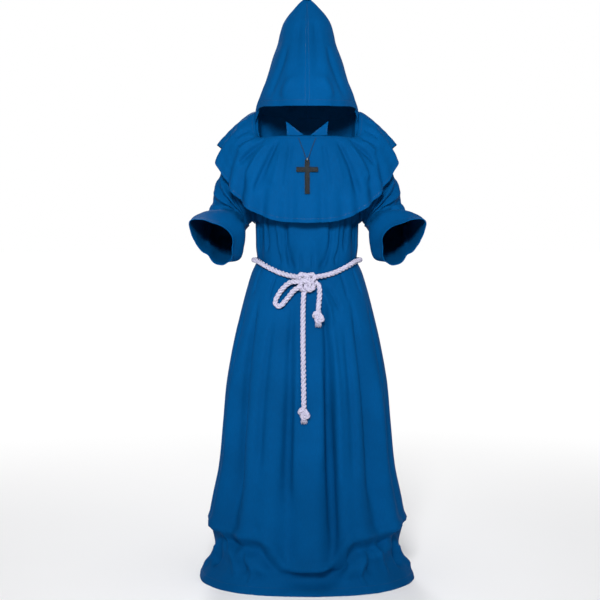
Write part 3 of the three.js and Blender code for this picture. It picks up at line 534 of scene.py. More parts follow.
# Beside a seam, columns lie at these multiples of the fine step, and never closer than a share of it.
EDGE_STEP = 0.5
CLUSTER = (-2.4, -1.2, -0.5, 0, 0.5, 1.2, 2.4)
CLOSEST = 0.3

# The whole way down each piece, and the mean radius that turns its angles into widths.
SLEEVE_LENGTH = 600
HOOD_FALL = 366
CAPE_FALL = 290
RADIUS = {"robe": 245, "sleeve": 75, "hood": 130, "cape": 190}

# The cloth's own unevenness: millimetres a degree round the piece, the size of the waves and their seed.
RIPPLE = {
    "robe": {"degree": 4.3, "size": 95, "seed": 3},
    "sleeve": {"degree": 1.3, "size": 70, "seed": 11},
    "hood": {"degree": 2.3, "size": 80, "seed": 21},
    "cape": {"degree": 3.4, "size": 60, "seed": 31},
}
ROBE_RIPPLE_DOWN = 0.45
ROBE_FINE_RIPPLE = {"size": 42, "seed": 5, "share": 0.35}
CAPE_RIPPLE_FALL = 330
FLAP_RIPPLE = {"reach": 60, "size": 30, "seed": 41, "height": 0.35}
NOISE = {"waves": 7, "shortest": 0.6, "longest": 1.7, "height": 1.6}
CREASE_FADE = {"start": (-0.02, 0.22), "end": (0.78, 1.02)}

# Seams between two panels, in degrees from the seam: how far the cloth stays calm, and how wide and how
# many millimetres deep the stitches draw it in. Then the way down over which that begins.
SEAM = {
    "robe": {"calm": 4, "width": 0.7, "depth": 0.9},
    "hood": {"calm": 6, "width": 0.8, "depth": 0.8},
    "cape": {"calm": 5, "width": 0.7, "depth": 0.8},
}
SEAM_BEGINS = (0.02, 0.08)

# Where the creases and the ripple fade out: heights in millimetres, and shares of the way down.
ON_FLOOR = (0, 14)
YOKE_FADE = (1.0, 1.12)
UNDER_BELT = {"share": 0.85, "reach": 16}
ROBE_MOST_OUT = 9
SLEEVE_CALM = (0, 0.06)
HOOD_EDGE_FADE = (0.93, 1)
HOOD_PEAK_FADE = (0.03, 0.15)
CAPE_SEAM_FADE = (0.0, 0.1)

# Hems: the inner layer's extra thickness, the fold's blend, and the line of stitches within it.
HEM_LAYER = {"more": 0.9, "blend": 1.5}
STITCHES_IN = 3
STITCH_PULL = {"depth": 0.45, "reach": 2.2}
STITCH = {"share": 0.72, "width": 0.75, "height": 0.32}
STITCH_PROFILE = ((-0.5, -0.3), (-0.28, 1.0), (0.28, 1.0), (0.5, -0.3))
HOOD_HEM = 21.0
CAPE_HEM_DEPTH = 16.0
CAPE_TOP_STITCH = 8

# The hood's brim ends beside the face, and behind it the lower edge dips under the cape's seam.
BRIM_ENDS = (70, 76)
BRIM_STITCHED_TO = 74
HOOD_TUCK = {"angles": (76, 84), "from": 0.97, "drop": 2.2}
BESIDE_SEAM = 2.2
SEAM_FIRST_ROW = 3

# The collar corners: doubled cloth with a line of stitches along both sides.
FLAP_THICKNESS = 1.4
FLAP_WIDTH = 50
FLAP_STITCH = {"in": 4, "reach": 1.2, "depth": 0.3}

# Finer creases of the cloth, listed one by one. Each runs along its points, as wide and deep as given.
ROBE_CREASES = (
    # The skirt's break on the floor: the ridge across the front and the hollow below it.
    (12, 9, (-92, 198), (-74, 190), (-58, 178), (-44, 169), (-33, 171), (-24, 166), (-18.5, 145), (-14.5, 106)),
    (11, 8, (-18.5, 145), (-14.5, 106), (-11, 82), (-4, 75), (8, 75), (12, 84), (15.5, 110), (18.5, 142)),
    (12, 9, (15.5, 110), (18.5, 142), (23, 165), (31, 171), (40, 168), (56, 181), (74, 192), (92, 198)),
    (20, -15, (-88, 158), (-70, 150), (-56, 140), (-40, 132), (-27, 128), (-19, 92), (-14, 62), (-6, 45)),
    (20, -15, (-14, 62), (-6, 45), (8, 45), (14, 60), (19, 92), (27, 128), (40, 132), (56, 140)),
    (20, -11, (40, 132), (56, 142), (70, 150), (88, 158)),
    # Ridges that fan down from the break to the hem.
    (9, 8, (-57, 174), (-55, 145), (-51, 105), (-46, 66), (-42, 40)),
    (9, 8, (41, 164), (44, 135), (48, 100), (51, 66), (53, 40)),
    (6.5, 6, (-31, 92), (-31, 60), (-32, 18)),
    (6.5, 6, (29.5, 92), (29.5, 60), (31, 18)),
    (13, -8, (-38, 120), (-39, 84), (-37, 52)),
    (13, -8, (36, 120), (38, 84), (37, 52)),
    *on_both_sides(
        (16, -14, (66, 140), (70, 96), (73, 50)),
        (10, 7, (74, 120), (82, 72), (90, 28)),
    ),
    # The same break round the back.
    (13, 8, (92, 196), (106, 186), (122, 158), (136, 138), (150, 122), (164, 112), (180, 108), (194, 114)),
    (13, 8, (-92, 196), (-106, 188), (-122, 162), (-136, 136), (-150, 120), (-164, 116)),
    (20, -10, (96, 150), (118, 120), (138, 92), (158, 76), (180, 66), (200, 72)),
    (20, -10, (-96, 150), (-118, 124), (-138, 92), (-158, 80)),
    (8, 6, (112, 120), (110, 70), (106, 20)),
    (8, 6, (-112, 122), (-108, 70), (-104, 20)),
    (8, 6, (148, 92), (150, 50), (152, 14)),
    (8, 6, (-146, 92), (-148, 50), (-150, 14)),
    # Long troughs and ridges of the skirt's front.
    (11, -7, (-10, 900), (-10.5, 760), (-10, 600), (-10.5, 430), (-11, 250)),
    (9, -9, (12, 880), (12.5, 740), (12, 560)),
    (8, -12, (12, 640), (12.6, 400), (13, 240), (13.5, 110)),
    (8, 6, (18, 820), (18.5, 640), (18.5, 460), (18, 280)),
    (13, -9, (-47, 900), (-48, 740), (-48, 560), (-47, 380), (-45, 230)),
    (13, -8, (40, 900), (41, 740), (42, 560), (42, 380), (40, 230)),
    (12, -5, (-27, 840), (-28, 660), (-29, 480), (-29, 330)),
    (12, -5, (28, 820), (28, 660), (28, 480), (27, 320)),
    (10, 5, (-5, 780), (-5, 600), (-5.5, 420), (-6, 260)),
    (10, 5, (7, 700), (7, 520), (6.5, 360)),
    (12, -6, (66, 880), (66, 700), (66, 520), (64, 330)),
    (12, -6, (-68, 880), (-70, 700), (-70, 520), (-68, 330)),
    (8, 4, (9, 935), (13, 900), (17, 860), (18, 800)),
    (8, -4, (16, 930), (22, 890), (27, 850)),
    (8, -4, (-14, 925), (-18, 890), (-20, 850)),
    (7, -4, (-30, 965), (-33, 925), (-34, 880)),
    (7, -4, (34, 970), (36, 930), (37, 880)),
    (7, -4, (56, 985), (57, 950), (58, 900)),
    (7, -4, (-56, 985), (-58, 950), (-58, 900)),
    # Long troughs of the skirt's sides and back.
    (14, -7, (88, 900), (88, 700), (88, 500), (87, 300)),
    (14, -7, (-90, 900), (-89, 700), (-88, 500), (-88, 300)),
    (14, -8, (113, 940), (114, 760), (114, 560), (112, 340), (110, 230)),
    (12, -7, (136, 920), (136, 740), (135, 560), (134, 380), (134, 250)),
    (12, 5, (145, 860), (145, 640), (145, 420)),
    (13, -8, (163, 940), (163, 760), (162, 560), (162, 380), (163, 200)),
    (12, -7, (-170, 900), (-170, 700), (-170, 480), (-168, 260)),
    (12, -6, (-136, 920), (-135, 740), (-134, 560), (-135, 380)),
    (13, -8, (-156, 930), (-155, 740), (-154, 540), (-156, 320)),
    (13, -8, (-115, 940), (-114, 760), (-113, 560), (-112, 380)),
    *on_both_sides(
        (7, -4, (100, 992), (101, 955), (102, 900)),
        (7, -4, (145, 992), (144, 955), (144, 900)),
    ),
    (7, -4, (180, 992), (180, 950), (179, 890)),
    # The bodice draws in to the belt and the knot.
    (10, -7, (-22, 1150), (-21, 1060), (-16, 1000), (-9, 968)),
    (10, -7, (25, 1150), (24, 1060), (17, 1000), (9, 968)),
    (9, 4, (-32, 1150), (-31, 1080), (-29, 1010)),
    (9, 4, (34, 1150), (33, 1080), (30, 1010)),
    (11, -8, (-50, 1190), (-49, 1100), (-46, 1030)),
    (11, -8, (47, 1190), (46, 1100), (43, 1030)),
    (6, -4, (-32, 1050), (-28, 990)),
    (6, -4, (34, 1052), (29, 992)),
    (5, -3.5, (-6, 1030), (-4, 972)),
    (5, -3.5, (5, 1036), (4, 974)),
    (8, -5, (-72, 1120), (-70, 1060), (-68, 1020)),
    (8, -5, (74, 1120), (72, 1060), (70, 1020)),
    *on_both_sides(
        (8, -5, (104, 1130), (106, 1070), (107, 1022)),
    ),
    (8, -5, (135, 1120), (135, 1060), (134, 1022)),
    (8, -5, (-133, 1120), (-134, 1060), (-134, 1022)),
    (8, -5, (163, 1140), (163, 1080), (162, 1022)),
    (8, -5, (-164, 1130), (-163, 1070), (-163, 1022)),
    # Drag lines from the armpits.
    *on_both_sides(
        (9, -5, (84, 1150), (74, 1120), (62, 1110)),
        (9, -5, (96, 1150), (108, 1122), (120, 1112)),
    ),
)
HOOD_CREASES = (
    *on_both_sides(
        (16, -4, (14, 1770), (15, 1700), (13, 1620), (9, 1560)),
        (12, 3, (30, 1500), (24, 1535), (14, 1570)),
        (12, -4, (52, 1500), (44, 1560), (38, 1620), (36, 1680)),
        (13, -5, (84, 1500), (78, 1560), (74, 1630)),
        (13, -5, (100, 1490), (104, 1560), (110, 1640), (116, 1700)),
        (11, -4, (126, 1490), (130, 1550), (136, 1620)),
        (11, -4, (158, 1486), (157, 1540), (160, 1610)),
        (10, 3, (168, 1490), (168, 1560)),
    ),
)
# Creases of the cape: angle, and the way down from the seam in millimetres of its fall.
CAPE_CREASES = (
    *on_both_sides(
        (6, -3.5, (9, 10), (9, 60), (10, 130), (11, 200)),
    ),
    (8, 2.5, (-15, 40), (-17, 110), (-19, 190)),
    (8, 2.5, (16, 40), (18, 110), (20, 190)),
    (8, -6.5, (-20, 8), (-24, 60), (-28, 130), (-31, 200), (-32, 240)),
    (8, -6.5, (21, 8), (25, 60), (29, 130), (31, 200), (32, 240)),
    (8, 4.5, (-32, 30), (-37, 90), (-41, 160), (-43, 210)),
    (8, 4.5, (33, 30), (38, 90), (42, 160), (44, 210)),
    *on_both_sides(
        (8, -7, (38, 6), (44, 50), (50, 110), (54, 170)),
    ),
    (7, 3.5, (-52, 30), (-57, 80), (-61, 130)),
    (7, 3.5, (51, 30), (56, 80), (60, 130)),
    (7, -4.5, (-58, 10), (-63, 60), (-67, 120)),
    (7, -4.5, (57, 10), (62, 60), (66, 120)),
    *on_both_sides(
        (6, -4, (70, 14), (72, 60), (73, 110)),
        (6, 3, (82, 30), (83, 70), (83, 110)),
    ),
    (8, -5, (-104, 12), (-106, 80), (-108, 150)),
    (8, -5, (104, 12), (106, 80), (109, 150)),
    (7, -4, (-118, 30), (-120, 100), (-121, 170)),
    (7, -4, (118, 30), (119, 100), (120, 170)),
    (8, -5, (-132, 12), (-136, 100), (-138, 200)),
    (8, -5, (133, 12), (137, 100), (140, 200)),
    (7, 4, (-147, 60), (-148, 150), (-148, 230)),
    (7, 4, (149, 60), (149, 150), (150, 230)),
    (8, -5, (-164, 12), (-164, 100), (-165, 200)),
    (8, -5, (167, 12), (167, 100), (167, 200)),
)
# Creases of the sleeve: turn round it, and the way from the armhole in millimetres.
SLEEVE_CREASES = (
    (9, -6, (20, 190), (60, 215), (100, 225), (140, 215)),
    (9, -6, (10, 235), (50, 262), (95, 270), (135, 255)),
    (9, -6, (0, 285), (40, 305), (85, 308), (120, 296)),
    (8, 4, (15, 214), (60, 240), (100, 248), (140, 236)),
    (8, 4, (5, 262), (50, 284), (95, 290), (130, 278)),
    (9, -5, (-50, 205), (-20, 220), (15, 214)),
    (9, -5, (-60, 262), (-25, 275), (10, 262)),
    (8, -5, (-70, 320), (-30, 330), (5, 318)),
    (12, -5, (60, 330), (75, 410), (80, 500)),
    (12, -5, (150, 300), (160, 390), (165, 480)),
    (12, -5, (-20, 340), (-35, 430), (-45, 520)),
    (12, -4, (230, 330), (215, 420), (205, 510)),
    (14, -6, (60, 40), (70, 100), (80, 160)),
    (14, -6, (120, 50), (115, 110), (110, 170)),
    (14, -6, (-60, 40), (-70, 110), (-80, 180)),
    (14, -6, (-120, 50), (-115, 120), (-110, 180)),
    (12, -4, (0, 60), (5, 120), (5, 180)),
)


def smoothstep(place, low, high):
    part = np.clip((place - low) / (high - low), 0, 1)
    return part * part * (3 - 2 * part)


def look_up(rows, key, name, place):
    """One column of a table at any place of its key column, on a smooth curve through the rows."""
    keys = rows[key]
    values = rows[name]
    last = len(keys) - 1
    at = np.clip(place, keys[0], keys[-1])
    low = np.clip(np.searchsorted(keys, at) - 1, 0, last - 1)
    high = low + 1
    before = np.maximum(low - 1, 0)
    after = np.minimum(low + 2, last)
    span = keys[high] - keys[low]
    part = (at - keys[low]) / span
    low_slope = span * (values[high] - values[before]) / (keys[high] - keys[before])
    high_slope = span * (values[after] - values[low]) / (keys[after] - keys[low])
    rising = values[low] * (1 + 2 * part) * (1 - part) ** 2 + low_slope * part * (1 - part) ** 2
    return rising + values[high] * part**2 * (3 - 2 * part) + high_slope * part**2 * (part - 1)


def around(angle, middle=0.0):
    """An angle measured from a middle one, the short way round, from -180 to 180."""
    return (angle - middle + 180) % 360 - 180


def hump(angle, middle, width):
    return np.exp(-((around(angle, middle) / width) ** 2))


def each_row(rows):
    """The rows of a table, each with its columns by name."""
    count = len(next(iter(rows.values())))
    return [{name: values[index] for name, values in rows.items()} for index in range(count)]


def hanging_folds(folds, angle, height):
    """Folds that run down from a top height to a bottom height."""
    offset = 0
    for fold in each_row(folds):
        full = fold["top"] - FOLD_FADE["top"] * (fold["top"] - fold["bottom"])
        fade_in = 1 - smoothstep(height, full, fold["top"])
        bottom = fold["bottom"]
        fade_out = smoothstep(height, bottom - FOLD_FADE["below"], bottom + FOLD_FADE["above"])
        offset = offset + fold["depth"] * hump(angle, fold["angle"], fold["width"]) * fade_in * fade_out
    return offset


def opening_folds(folds, angle, part):
    """Folds that open from a seam, deeper with each part of the way to the edge."""
    offset = 0
    for fold in each_row(folds):
        opened = smoothstep(part, fold["start"], 1)
        offset = offset + fold["depth"] * hump(angle, fold["angle"], fold["width"]) * opened
    return offset


def crease_field(creases, across, down, across_mm):
    """How far listed creases move each place: soft at both sides and fading at both ends."""
    total = np.zeros(np.broadcast(across, down).shape)
    for width, depth, *points in creases:
        middle = points[len(points) // 2][0]
        x = around(across, middle) * across_mm
        path = [(around(side, middle) * across_mm, level) for side, level in points]
        nearest = np.full(total.shape, np.inf)
        place = np.zeros(total.shape)
        walked = 0.0
        lengths = [math.dist(a, b) for a, b in zip(path, path[1:])]
        for (x0, y0), (x1, y1), length in zip(path, path[1:], lengths):
            part = np.clip(((x - x0) * (x1 - x0) + (down - y0) * (y1 - y0)) / length**2, 0, 1)
            gap = (x - x0 - part * (x1 - x0)) ** 2 + (down - y0 - part * (y1 - y0)) ** 2
            nearer = gap < nearest
            nearest = np.where(nearer, gap, nearest)
            place = np.where(nearer, walked + part * length, place)
            walked += length
        share = place / walked
        ends = smoothstep(share, *CREASE_FADE["start"]) * (1 - smoothstep(share, *CREASE_FADE["end"]))
        total += depth * np.exp(-nearest / width**2) * ends
    return total


def soft_noise(x, y, size, seed):
    """A gentle uneven field from -1 to 1, made of waves with directions and phases of their own."""
    draw = random.Random(seed)
    total = 0
    for _ in range(NOISE["waves"]):
        turn = draw.uniform(0, math.pi)
        length = size * draw.uniform(NOISE["shortest"], NOISE["longest"])
        phase = draw.uniform(0, 2 * math.pi)
        total = total + np.sin((x * math.cos(turn) + y * math.sin(turn)) * 2 * math.pi / length + phase)
    return total / NOISE["waves"] * NOISE["height"]


def ripple_on(name, turn, down, settings, hand=0):
    """The unevenness of a piece's cloth, in millimetres outwards."""
    waves = RIPPLE[name]
    return soft_noise(turn * waves["degree"], down, waves["size"], waves["seed"] + hand) * settings.ripple


def creases_on(name, creases, turn, down, settings):
    """A piece's listed creases at the depth of the settings, in millimetres outwards."""
    return crease_field(creases, turn, down, math.radians(1) * RADIUS[name]) * settings.crease_strength


def seam_line(name, gap):
    """How much of a seam's full depth a place has, by its gap from the seam in degrees."""
    return np.exp(-((gap / SEAM[name]["width"]) ** 2))


def on_ring(side, front, back, squareness, angle, height, offset=0.0):
    """A place on a flattened ring at an angle from the front, moved outwards by an offset."""
    sine = np.sin(np.radians(angle))
    cosine = np.cos(np.radians(angle))
    depth = np.where(cosine > 0, front, back)
    out_x = sine / np.maximum(side, 1)
    out_y = -cosine / np.maximum(np.abs(depth), 1)
    length = np.hypot(out_x, out_y)
    x = np.sign(sine) * side * np.abs(sine) ** squareness + offset * out_x / length
    y = -np.sign(cosine) * depth * np.abs(cosine) ** squareness + offset * out_y / length
    return np.stack(np.broadcast_arrays(x, y, height), axis=-1)


def ring_at(rows, squareness, angle, level, height, offset=0.0):
    """A place on the ring that a table of sections has at a level."""
    side, front, back = (look_up(rows, "height", name, level) for name in ("side", "front", "back"))
    return on_ring(side, front, back, squareness, angle, height, offset)


def belt_height(angle):
    return BELT_HEIGHT - BELT_DIP * np.maximum(np.cos(np.radians(angle)), 0) ** 3


def row_height(angle, level):
    """A level row of the robe: near the waist the rows follow the belt."""
    rising = smoothstep(level, WAIST_ROWS["low"], WAIST_ROWS["full"])
    near = rising * (1 - smoothstep(level, WAIST_ROWS["leave"], ARMPIT_HEIGHT))
    return level + (belt_height(angle) - BELT_HEIGHT) * near


def robe_tube(angle, height):
    """The robe below the armpit."""
    break_height = look_up(BREAK, "angle", "height", np.abs(around(angle)))
    below = height / break_height
    above = 1 - smoothstep(height, break_height, BREAK_FADE)
    near = np.where(height < break_height, below, above)
    level = height + (BREAK_ROW - break_height) * near
    from_belt = (height - belt_height(angle)) / WAIST_PINCH["reach"]
    pinch = WAIST_PINCH["depth"] * np.exp(-(from_belt**2))
    folds = sum(hanging_folds(folds, angle, height) for folds in (SKIRT_FOLDS, HEM_WAVES, BODICE_FOLDS))
    return ring_at(ROBE, ROBE_SQUARENESS, angle, level, height, folds - pinch)


def neck_seam(angle, inset=0.0):
    height = look_up(NECK_HEIGHTS, "angle", "height", np.abs(around(angle)))
    return on_ring(NECK["side"], NECK["front"], NECK["back"], NECK_SQUARENESS, angle, height, -inset)


def robe_yoke(face, angle, part):
    """The robe above the armpit: part 0 is at the armpit, part 1 at the shoulder and the neckline."""
    low = robe_tube(angle if face > 0 else 180 - angle, np.full_like(angle, ARMPIT_HEIGHT))
    turn = angle / SHOULDER_ANGLE
    neck_angle = 90 * np.clip(turn, -1, 1)
    seam_angle = neck_angle if face > 0 else 180 - neck_angle
    inset, drop = (look_up(NECKLINE, "angle", name, np.abs(around(seam_angle))) for name in ("inset", "drop"))
    top = neck_seam(seam_angle, inset)
    top[..., 2] -= drop
    beyond = np.clip((np.abs(angle) - SHOULDER_ANGLE) / (90 - SHOULDER_ANGLE), 0, 1)[..., None]
    shoulder_x = low[..., 0] + np.sign(angle) * ARMHOLE["lean"]
    point = np.stack((shoulder_x, 0 * angle, np.full_like(angle, SHOULDER_POINT)), axis=-1)
    top = top * (1 - beyond) + point * beyond
    rise = np.radians(90 * part)
    sideways = np.abs(np.sin(np.radians(angle))) ** ARMHOLE["spread"]
    bulge = ARMHOLE["bulge"] * sideways * np.sin(math.pi * part ** ARMHOLE["lowness"])
    flat = np.cos(rise) ** YOKE_ROUNDING
    x = low[..., 0] + (top[..., 0] - low[..., 0]) * part
    y = top[..., 1] + (low[..., 1] - top[..., 1]) * flat - face * bulge
    z = low[..., 2] + (top[..., 2] - low[..., 2]) * np.sin(rise)
    return np.stack((x, y, z), axis=-1)


def robe_panel(face, angle, place):
    """A whole robe panel: place runs from 0 at the floor to 1 at the armpit and 2 at the shoulder."""
    turn = angle if face > 0 else 180 - angle
    below = robe_tube(turn, row_height(turn, np.minimum(place, 1) * ARMPIT_HEIGHT))
    above = robe_yoke(face, angle, np.clip(place - 1, 0, 1))
    return np.where((place <= 1)[..., None], below, above)


def hood_surface(angle, part):
    """The hood: part 0 is at the peak and part 1 at the brim or the neck seam."""
    turn = np.abs(around(angle))
    seam = neck_seam(angle)
    brim = look_up(BRIM_HEIGHTS, "angle", "height", turn)
    at_seam = smoothstep(turn, HOOD_EDGE_ANGLE, HOOD_EDGE_ANGLE + HOOD_EDGE_BLEND)
    lowest = brim * (1 - at_seam) + (seam[..., 2] + 0.3) * at_seam
    height = PEAK_HEIGHT + (lowest - PEAK_HEIGHT) * part
    share = HOOD_FOLD_FADE["brim"] * (1 - at_seam) + HOOD_FOLD_FADE["seam"] * at_seam
    kept = 1 - smoothstep(part, HOOD_FOLD_FADE["from"], 1) * share
    offset = opening_folds(HOOD_FOLDS, angle, part) * kept
    point = ring_at(HOOD, HOOD_SQUARENESS, angle, height, height, offset)
    pull = smoothstep(part, HOOD_DRAW["from"], 1) * smoothstep(turn, HOOD_DRAW["angle"], HOOD_EDGE_ANGLE)
    ring = ring_at(HOOD, HOOD_SQUARENESS, angle, lowest, lowest)
    point[..., :2] += (seam[..., :2] - ring[..., :2]) * pull[..., None]
    return point


def cape_surface(angle, part):
    """The cape: part 0 is at the neck seam and part 1 at the hem."""
    turn = np.abs(around(angle))
    top = neck_seam(angle)
    hem_height = look_up(CAPE_HEIGHTS, "angle", "height", turn)
    sizes = (CAPE_HEM["side"], CAPE_HEM["front"], CAPE_HEM["back"], CAPE_SQUARENESS, angle)
    fall = on_ring(*sizes, hem_height) - top
    level = np.hypot(fall[..., 0], fall[..., 1])
    early = part**CAPE_BULGE_EARLY
    bulge = 4 * early * (1 - early) * look_up(CAPE_BULGE, "angle", "bulge", turn)
    leaning = -fall[..., :2] * fall[..., 2:] / level[..., None]
    out = np.concatenate((leaning, level[..., None]), axis=-1)
    out /= np.linalg.norm(out, axis=-1, keepdims=True)
    point = top + fall * part[..., None] + out * bulge[..., None]
    folds = opening_folds(CAPE_FOLDS, angle, part)
    zero = np.zeros_like(angle)
    return point + on_ring(*sizes, zero, folds) - on_ring(*sizes, zero)


def armhole_point(turn):
    up = turn % 360
    front = up <= 180
    part = np.where(front, 1 - up / 180, (up - 180) / 180)
    edge = np.full_like(turn, 90.0)
    point = np.where(front[..., None], robe_yoke(1, edge, part), robe_yoke(-1, edge, part))
    point[..., 0] += SLEEVE_GAP
    return point


def sleeve_surface(turn, part):
    """The sleeve at the viewer's right. Turn runs round a section: 0 outer side, 90 front side."""
    first = SLEEVE["part"][0]
    at = np.maximum(part, first)
    ring = {name: look_up(SLEEVE, "part", name, at) for name in SLEEVE if name != "part"}
    roll = np.radians(ring["roll"])
    pitch = np.radians(ring["pitch"])
    nothing = np.zeros_like(roll)
    outward = np.stack((np.sin(roll), nothing, np.cos(roll)), axis=-1)
    front = np.stack((nothing, -np.cos(pitch), np.sin(pitch)), axis=-1)
    front = front - outward * np.sum(front * outward, axis=-1, keepdims=True)
    front /= np.linalg.norm(front, axis=-1, keepdims=True)
    cosine = np.cos(np.radians(turn))
    sine = np.sin(np.radians(turn))
    deep = np.where(sine > 0, ring["front"], ring["back"])
    oval = 1 / np.hypot(cosine / ring["across"], sine / deep)
    cuff = look_up(CUFF, "angle", "reach", turn % 360)
    inset = look_up(MOUTH, "angle", "inset", turn % 360) * smoothstep(part, MOUTH_FROM, 1)
    reach = oval + (cuff - oval) * smoothstep(part, CUFF_BLEND["from"], CUFF_BLEND["to"]) - inset
    for fold in each_row(SLEEVE_FOLDS):
        opens = smoothstep(part, fold["start"], fold["start"] + SLEEVE_FOLD_FADE)
        closes = 1 - smoothstep(part, fold["end"] - SLEEVE_FOLD_FADE, fold["end"])
        reach = reach + fold["depth"] * hump(turn, fold["angle"], fold["width"]) * opens * closes
    across = CREASE_DEPTH["middle"] + CREASE_DEPTH["outer"] * cosine
    for crease in each_row(ELBOW_CREASES):
        reach = reach + crease["depth"] * np.exp(-(((part - crease["part"]) / crease["reach"]) ** 2)) * across
    centre = np.stack((ring["side"], -ring["forward"], ring["height"]), axis=-1)
    point = centre + outward * (reach * cosine)[..., None] + front * (reach * sine)[..., None]
    share = np.clip(part / first, 0, 1)[..., None]
    return armhole_point(turn) * (1 - share) + point * share


def flap_surface(side, across, up):
    corners = [np.array((side * x, y, z)) for x, y, z in (FLAP["inner"], FLAP["outer"], FLAP["tip"])]
    inner, outer, tip = corners
    across = across[..., None]
    up = up[..., None]
    foot = inner + (outer - inner) * across
    high = tip + (inner - tip) * FLAP_TIP * (1 - across)
    point = foot + (high - foot) * up
    point[..., 1] -= FLAP_CURL * np.sin(math.pi * up[..., 0])
    return point


def in_frame(points):
    """Millimetres above the floor as metres in the frame."""
    return np.asarray(points, dtype=float) * MM + np.array((0, 0, FLOOR))


def spaced(low, high, step, clusters=(), fine=0.0):
    """Even places from low to high, with closer ones beside each cluster's middle."""
    count = max(2, round((high - low) / step))
    places = set(np.round(np.linspace(low, high, count + 1), 6))
    for middle in clusters:
        for shift in CLUSTER:
            place = middle + shift * fine
            if low < place < high:
                places.add(round(place, 6))
    ordered = sorted(places)
    kept = [ordered[0]]
    for place in ordered[1:]:
        if place - kept[-1] > CLOSEST * min(step, fine or step):
            kept.append(place)
    kept[-1] = high
    return np.array(kept)


def grid_normals(points, facing, closed):
    if closed:
        padded = np.concatenate((points[:, -1:], points, points[:, :1]), axis=1)
        across = np.gradient(padded, axis=1)[:, 1:-1]
    else:
        across = np.gradient(points, axis=1)
    along = np.gradient(points, axis=0)
    normals = np.cross(across, along) * facing
    length = np.linalg.norm(normals, axis=-1, keepdims=True)
    return normals / np.maximum(length, 1e-9)


def moved_out(points, offset, facing, closed=False):
    return points + grid_normals(points, facing, closed) * offset[..., None]


def flat_places(points, closed):
    """Where each point lies on the flat cloth: across from the middle column and along it, in metres."""
    if closed:
        points = np.concatenate((points, points[:, :1]), axis=1)
    steps = np.linalg.norm(np.diff(points, axis=1), axis=-1)
    across = np.concatenate((np.zeros((len(points), 1)), np.cumsum(steps, axis=1)), axis=1)
    middle = points.shape[1] // 2
    across -= across[:, middle : middle + 1]
    rise = np.linalg.norm(np.diff(points[:, middle], axis=0), axis=-1)
    along = np.concatenate(([0], np.cumsum(rise)))[:, None] + np.zeros_like(across)
    return np.stack((across, along), axis=-1) * MM


def mesh_object(name, vertices, faces, uvs=None, smooth=True):
    """A new object at the origin from vertices in metres, with one UV place for each face corner."""
    mesh = bpy.data.meshes.new(name)
    mesh.from_pydata([tuple(v) for v in vertices], [], faces)
    if uvs is not None:
        layer = mesh.uv_layers.new(name="flat_cloth")
        layer.data.foreach_set("uv", np.asarray(uvs, dtype=float).ravel())
    mesh.polygons.foreach_set("use_smooth", [smooth] * len(mesh.polygons))
    mesh.update()
    piece = bpy.data.objects.new(name, mesh)
    bpy.context.scene.collection.objects.link(piece)
    return piece


def cloth_wall(name, points, thickness, facing=1, closed=False, trim=None):
    """A thin closed cloth wall: its outer side runs through the points, its inner side lies behind."""
    normals = grid_normals(points, facing, closed)
    inner = points - normals * thickness[..., None]
    if trim is not None:
        inner = trim(inner, points)
    rows, columns = points.shape[:2]
    size = rows * columns
    vertices = in_frame(np.concatenate((points.reshape(-1, 3), inner.reshape(-1, 3))))
    flat = flat_places(points, closed)
    spans = columns if closed else columns - 1

    def vertex(row, column, layer):
        return layer * size + row * columns + column % columns

    grids = np.meshgrid(np.arange(rows - 1), np.arange(spans), indexing="ij")
    row, column = (grid.ravel() for grid in grids)
    corner_sets = []
    for layer in (0, 1):
        corners = [(row, column), (row, column + 1), (row + 1, column + 1), (row + 1, column)]
        if (facing > 0) == (layer == 1):
            corners.reverse()
        corner_sets.append([(r, c, layer + 0 * r) for r, c in corners])
    edge = np.arange(spans)
    low, high = 0 * edge, 0 * edge + rows - 1
    rims = [
        [(low, edge + 1, 0), (low, edge, 0), (low, edge, 1), (low, edge + 1, 1)],
        [(high, edge, 0), (high, edge + 1, 0), (high, edge + 1, 1), (high, edge, 1)],
    ]
    if not closed:
        side = np.arange(rows - 1)
        left, right = 0 * side, 0 * side + columns - 1
        rims.append([(side, left, 0), (side + 1, left, 0), (side + 1, left, 1), (side, left, 1)])
        rims.append([(side + 1, right, 0), (side, right, 0), (side, right, 1), (side + 1, right, 1)])
    for rim in rims:
        corners = [(r, c, layer + 0 * r) for r, c, layer in rim]
        if facing < 0:
            corners.reverse()
        corner_sets.append(corners)
    faces = []
    uvs = []
    for corners in corner_sets:
        faces.append(np.stack([vertex(r, c, layer) for r, c, layer in corners], axis=-1))
        uvs.append(np.stack([flat[r, c] for r, c, _ in corners], axis=1))
    faces = np.concatenate(faces)
    uvs = np.concatenate(uvs).reshape(-1, 2)
    return mesh_object(name, vertices, faces.tolist(), uvs)


def close_poles(piece):
    """Merges the points that a pole gathers, and drops the faces that this flattens."""
    shape = bmesh.new()
    shape.from_mesh(piece.data)
    bmesh.ops.remove_doubles(shape, verts=shape.verts, dist=1e-5)
    bmesh.ops.dissolve_degenerate(shape, dist=1e-6, edges=shape.edges)
    shape.to_mesh(piece.data)
    shape.free()


def hem_thickness(from_edge, cloth, hem):
    """The wall is nearly double within a hem, where the cloth is turned in."""
    inside = 1 - smoothstep(from_edge, hem - HEM_LAYER["blend"], hem + HEM_LAYER["blend"])
    return cloth * (1 + HEM_LAYER["more"] * inside)


def stitch_line(from_edge, hem):
    """The line of stitches pulls the cloth in a little."""
    from_stitches = (from_edge - hem + STITCHES_IN) / STITCH_PULL["reach"]
    return -STITCH_PULL["depth"] * np.exp(-(from_stitches**2))


def row_nearest(places, place):
    """The number of the row or column that lies nearest to a place."""
    return int(np.argmin(np.abs(places - place)))


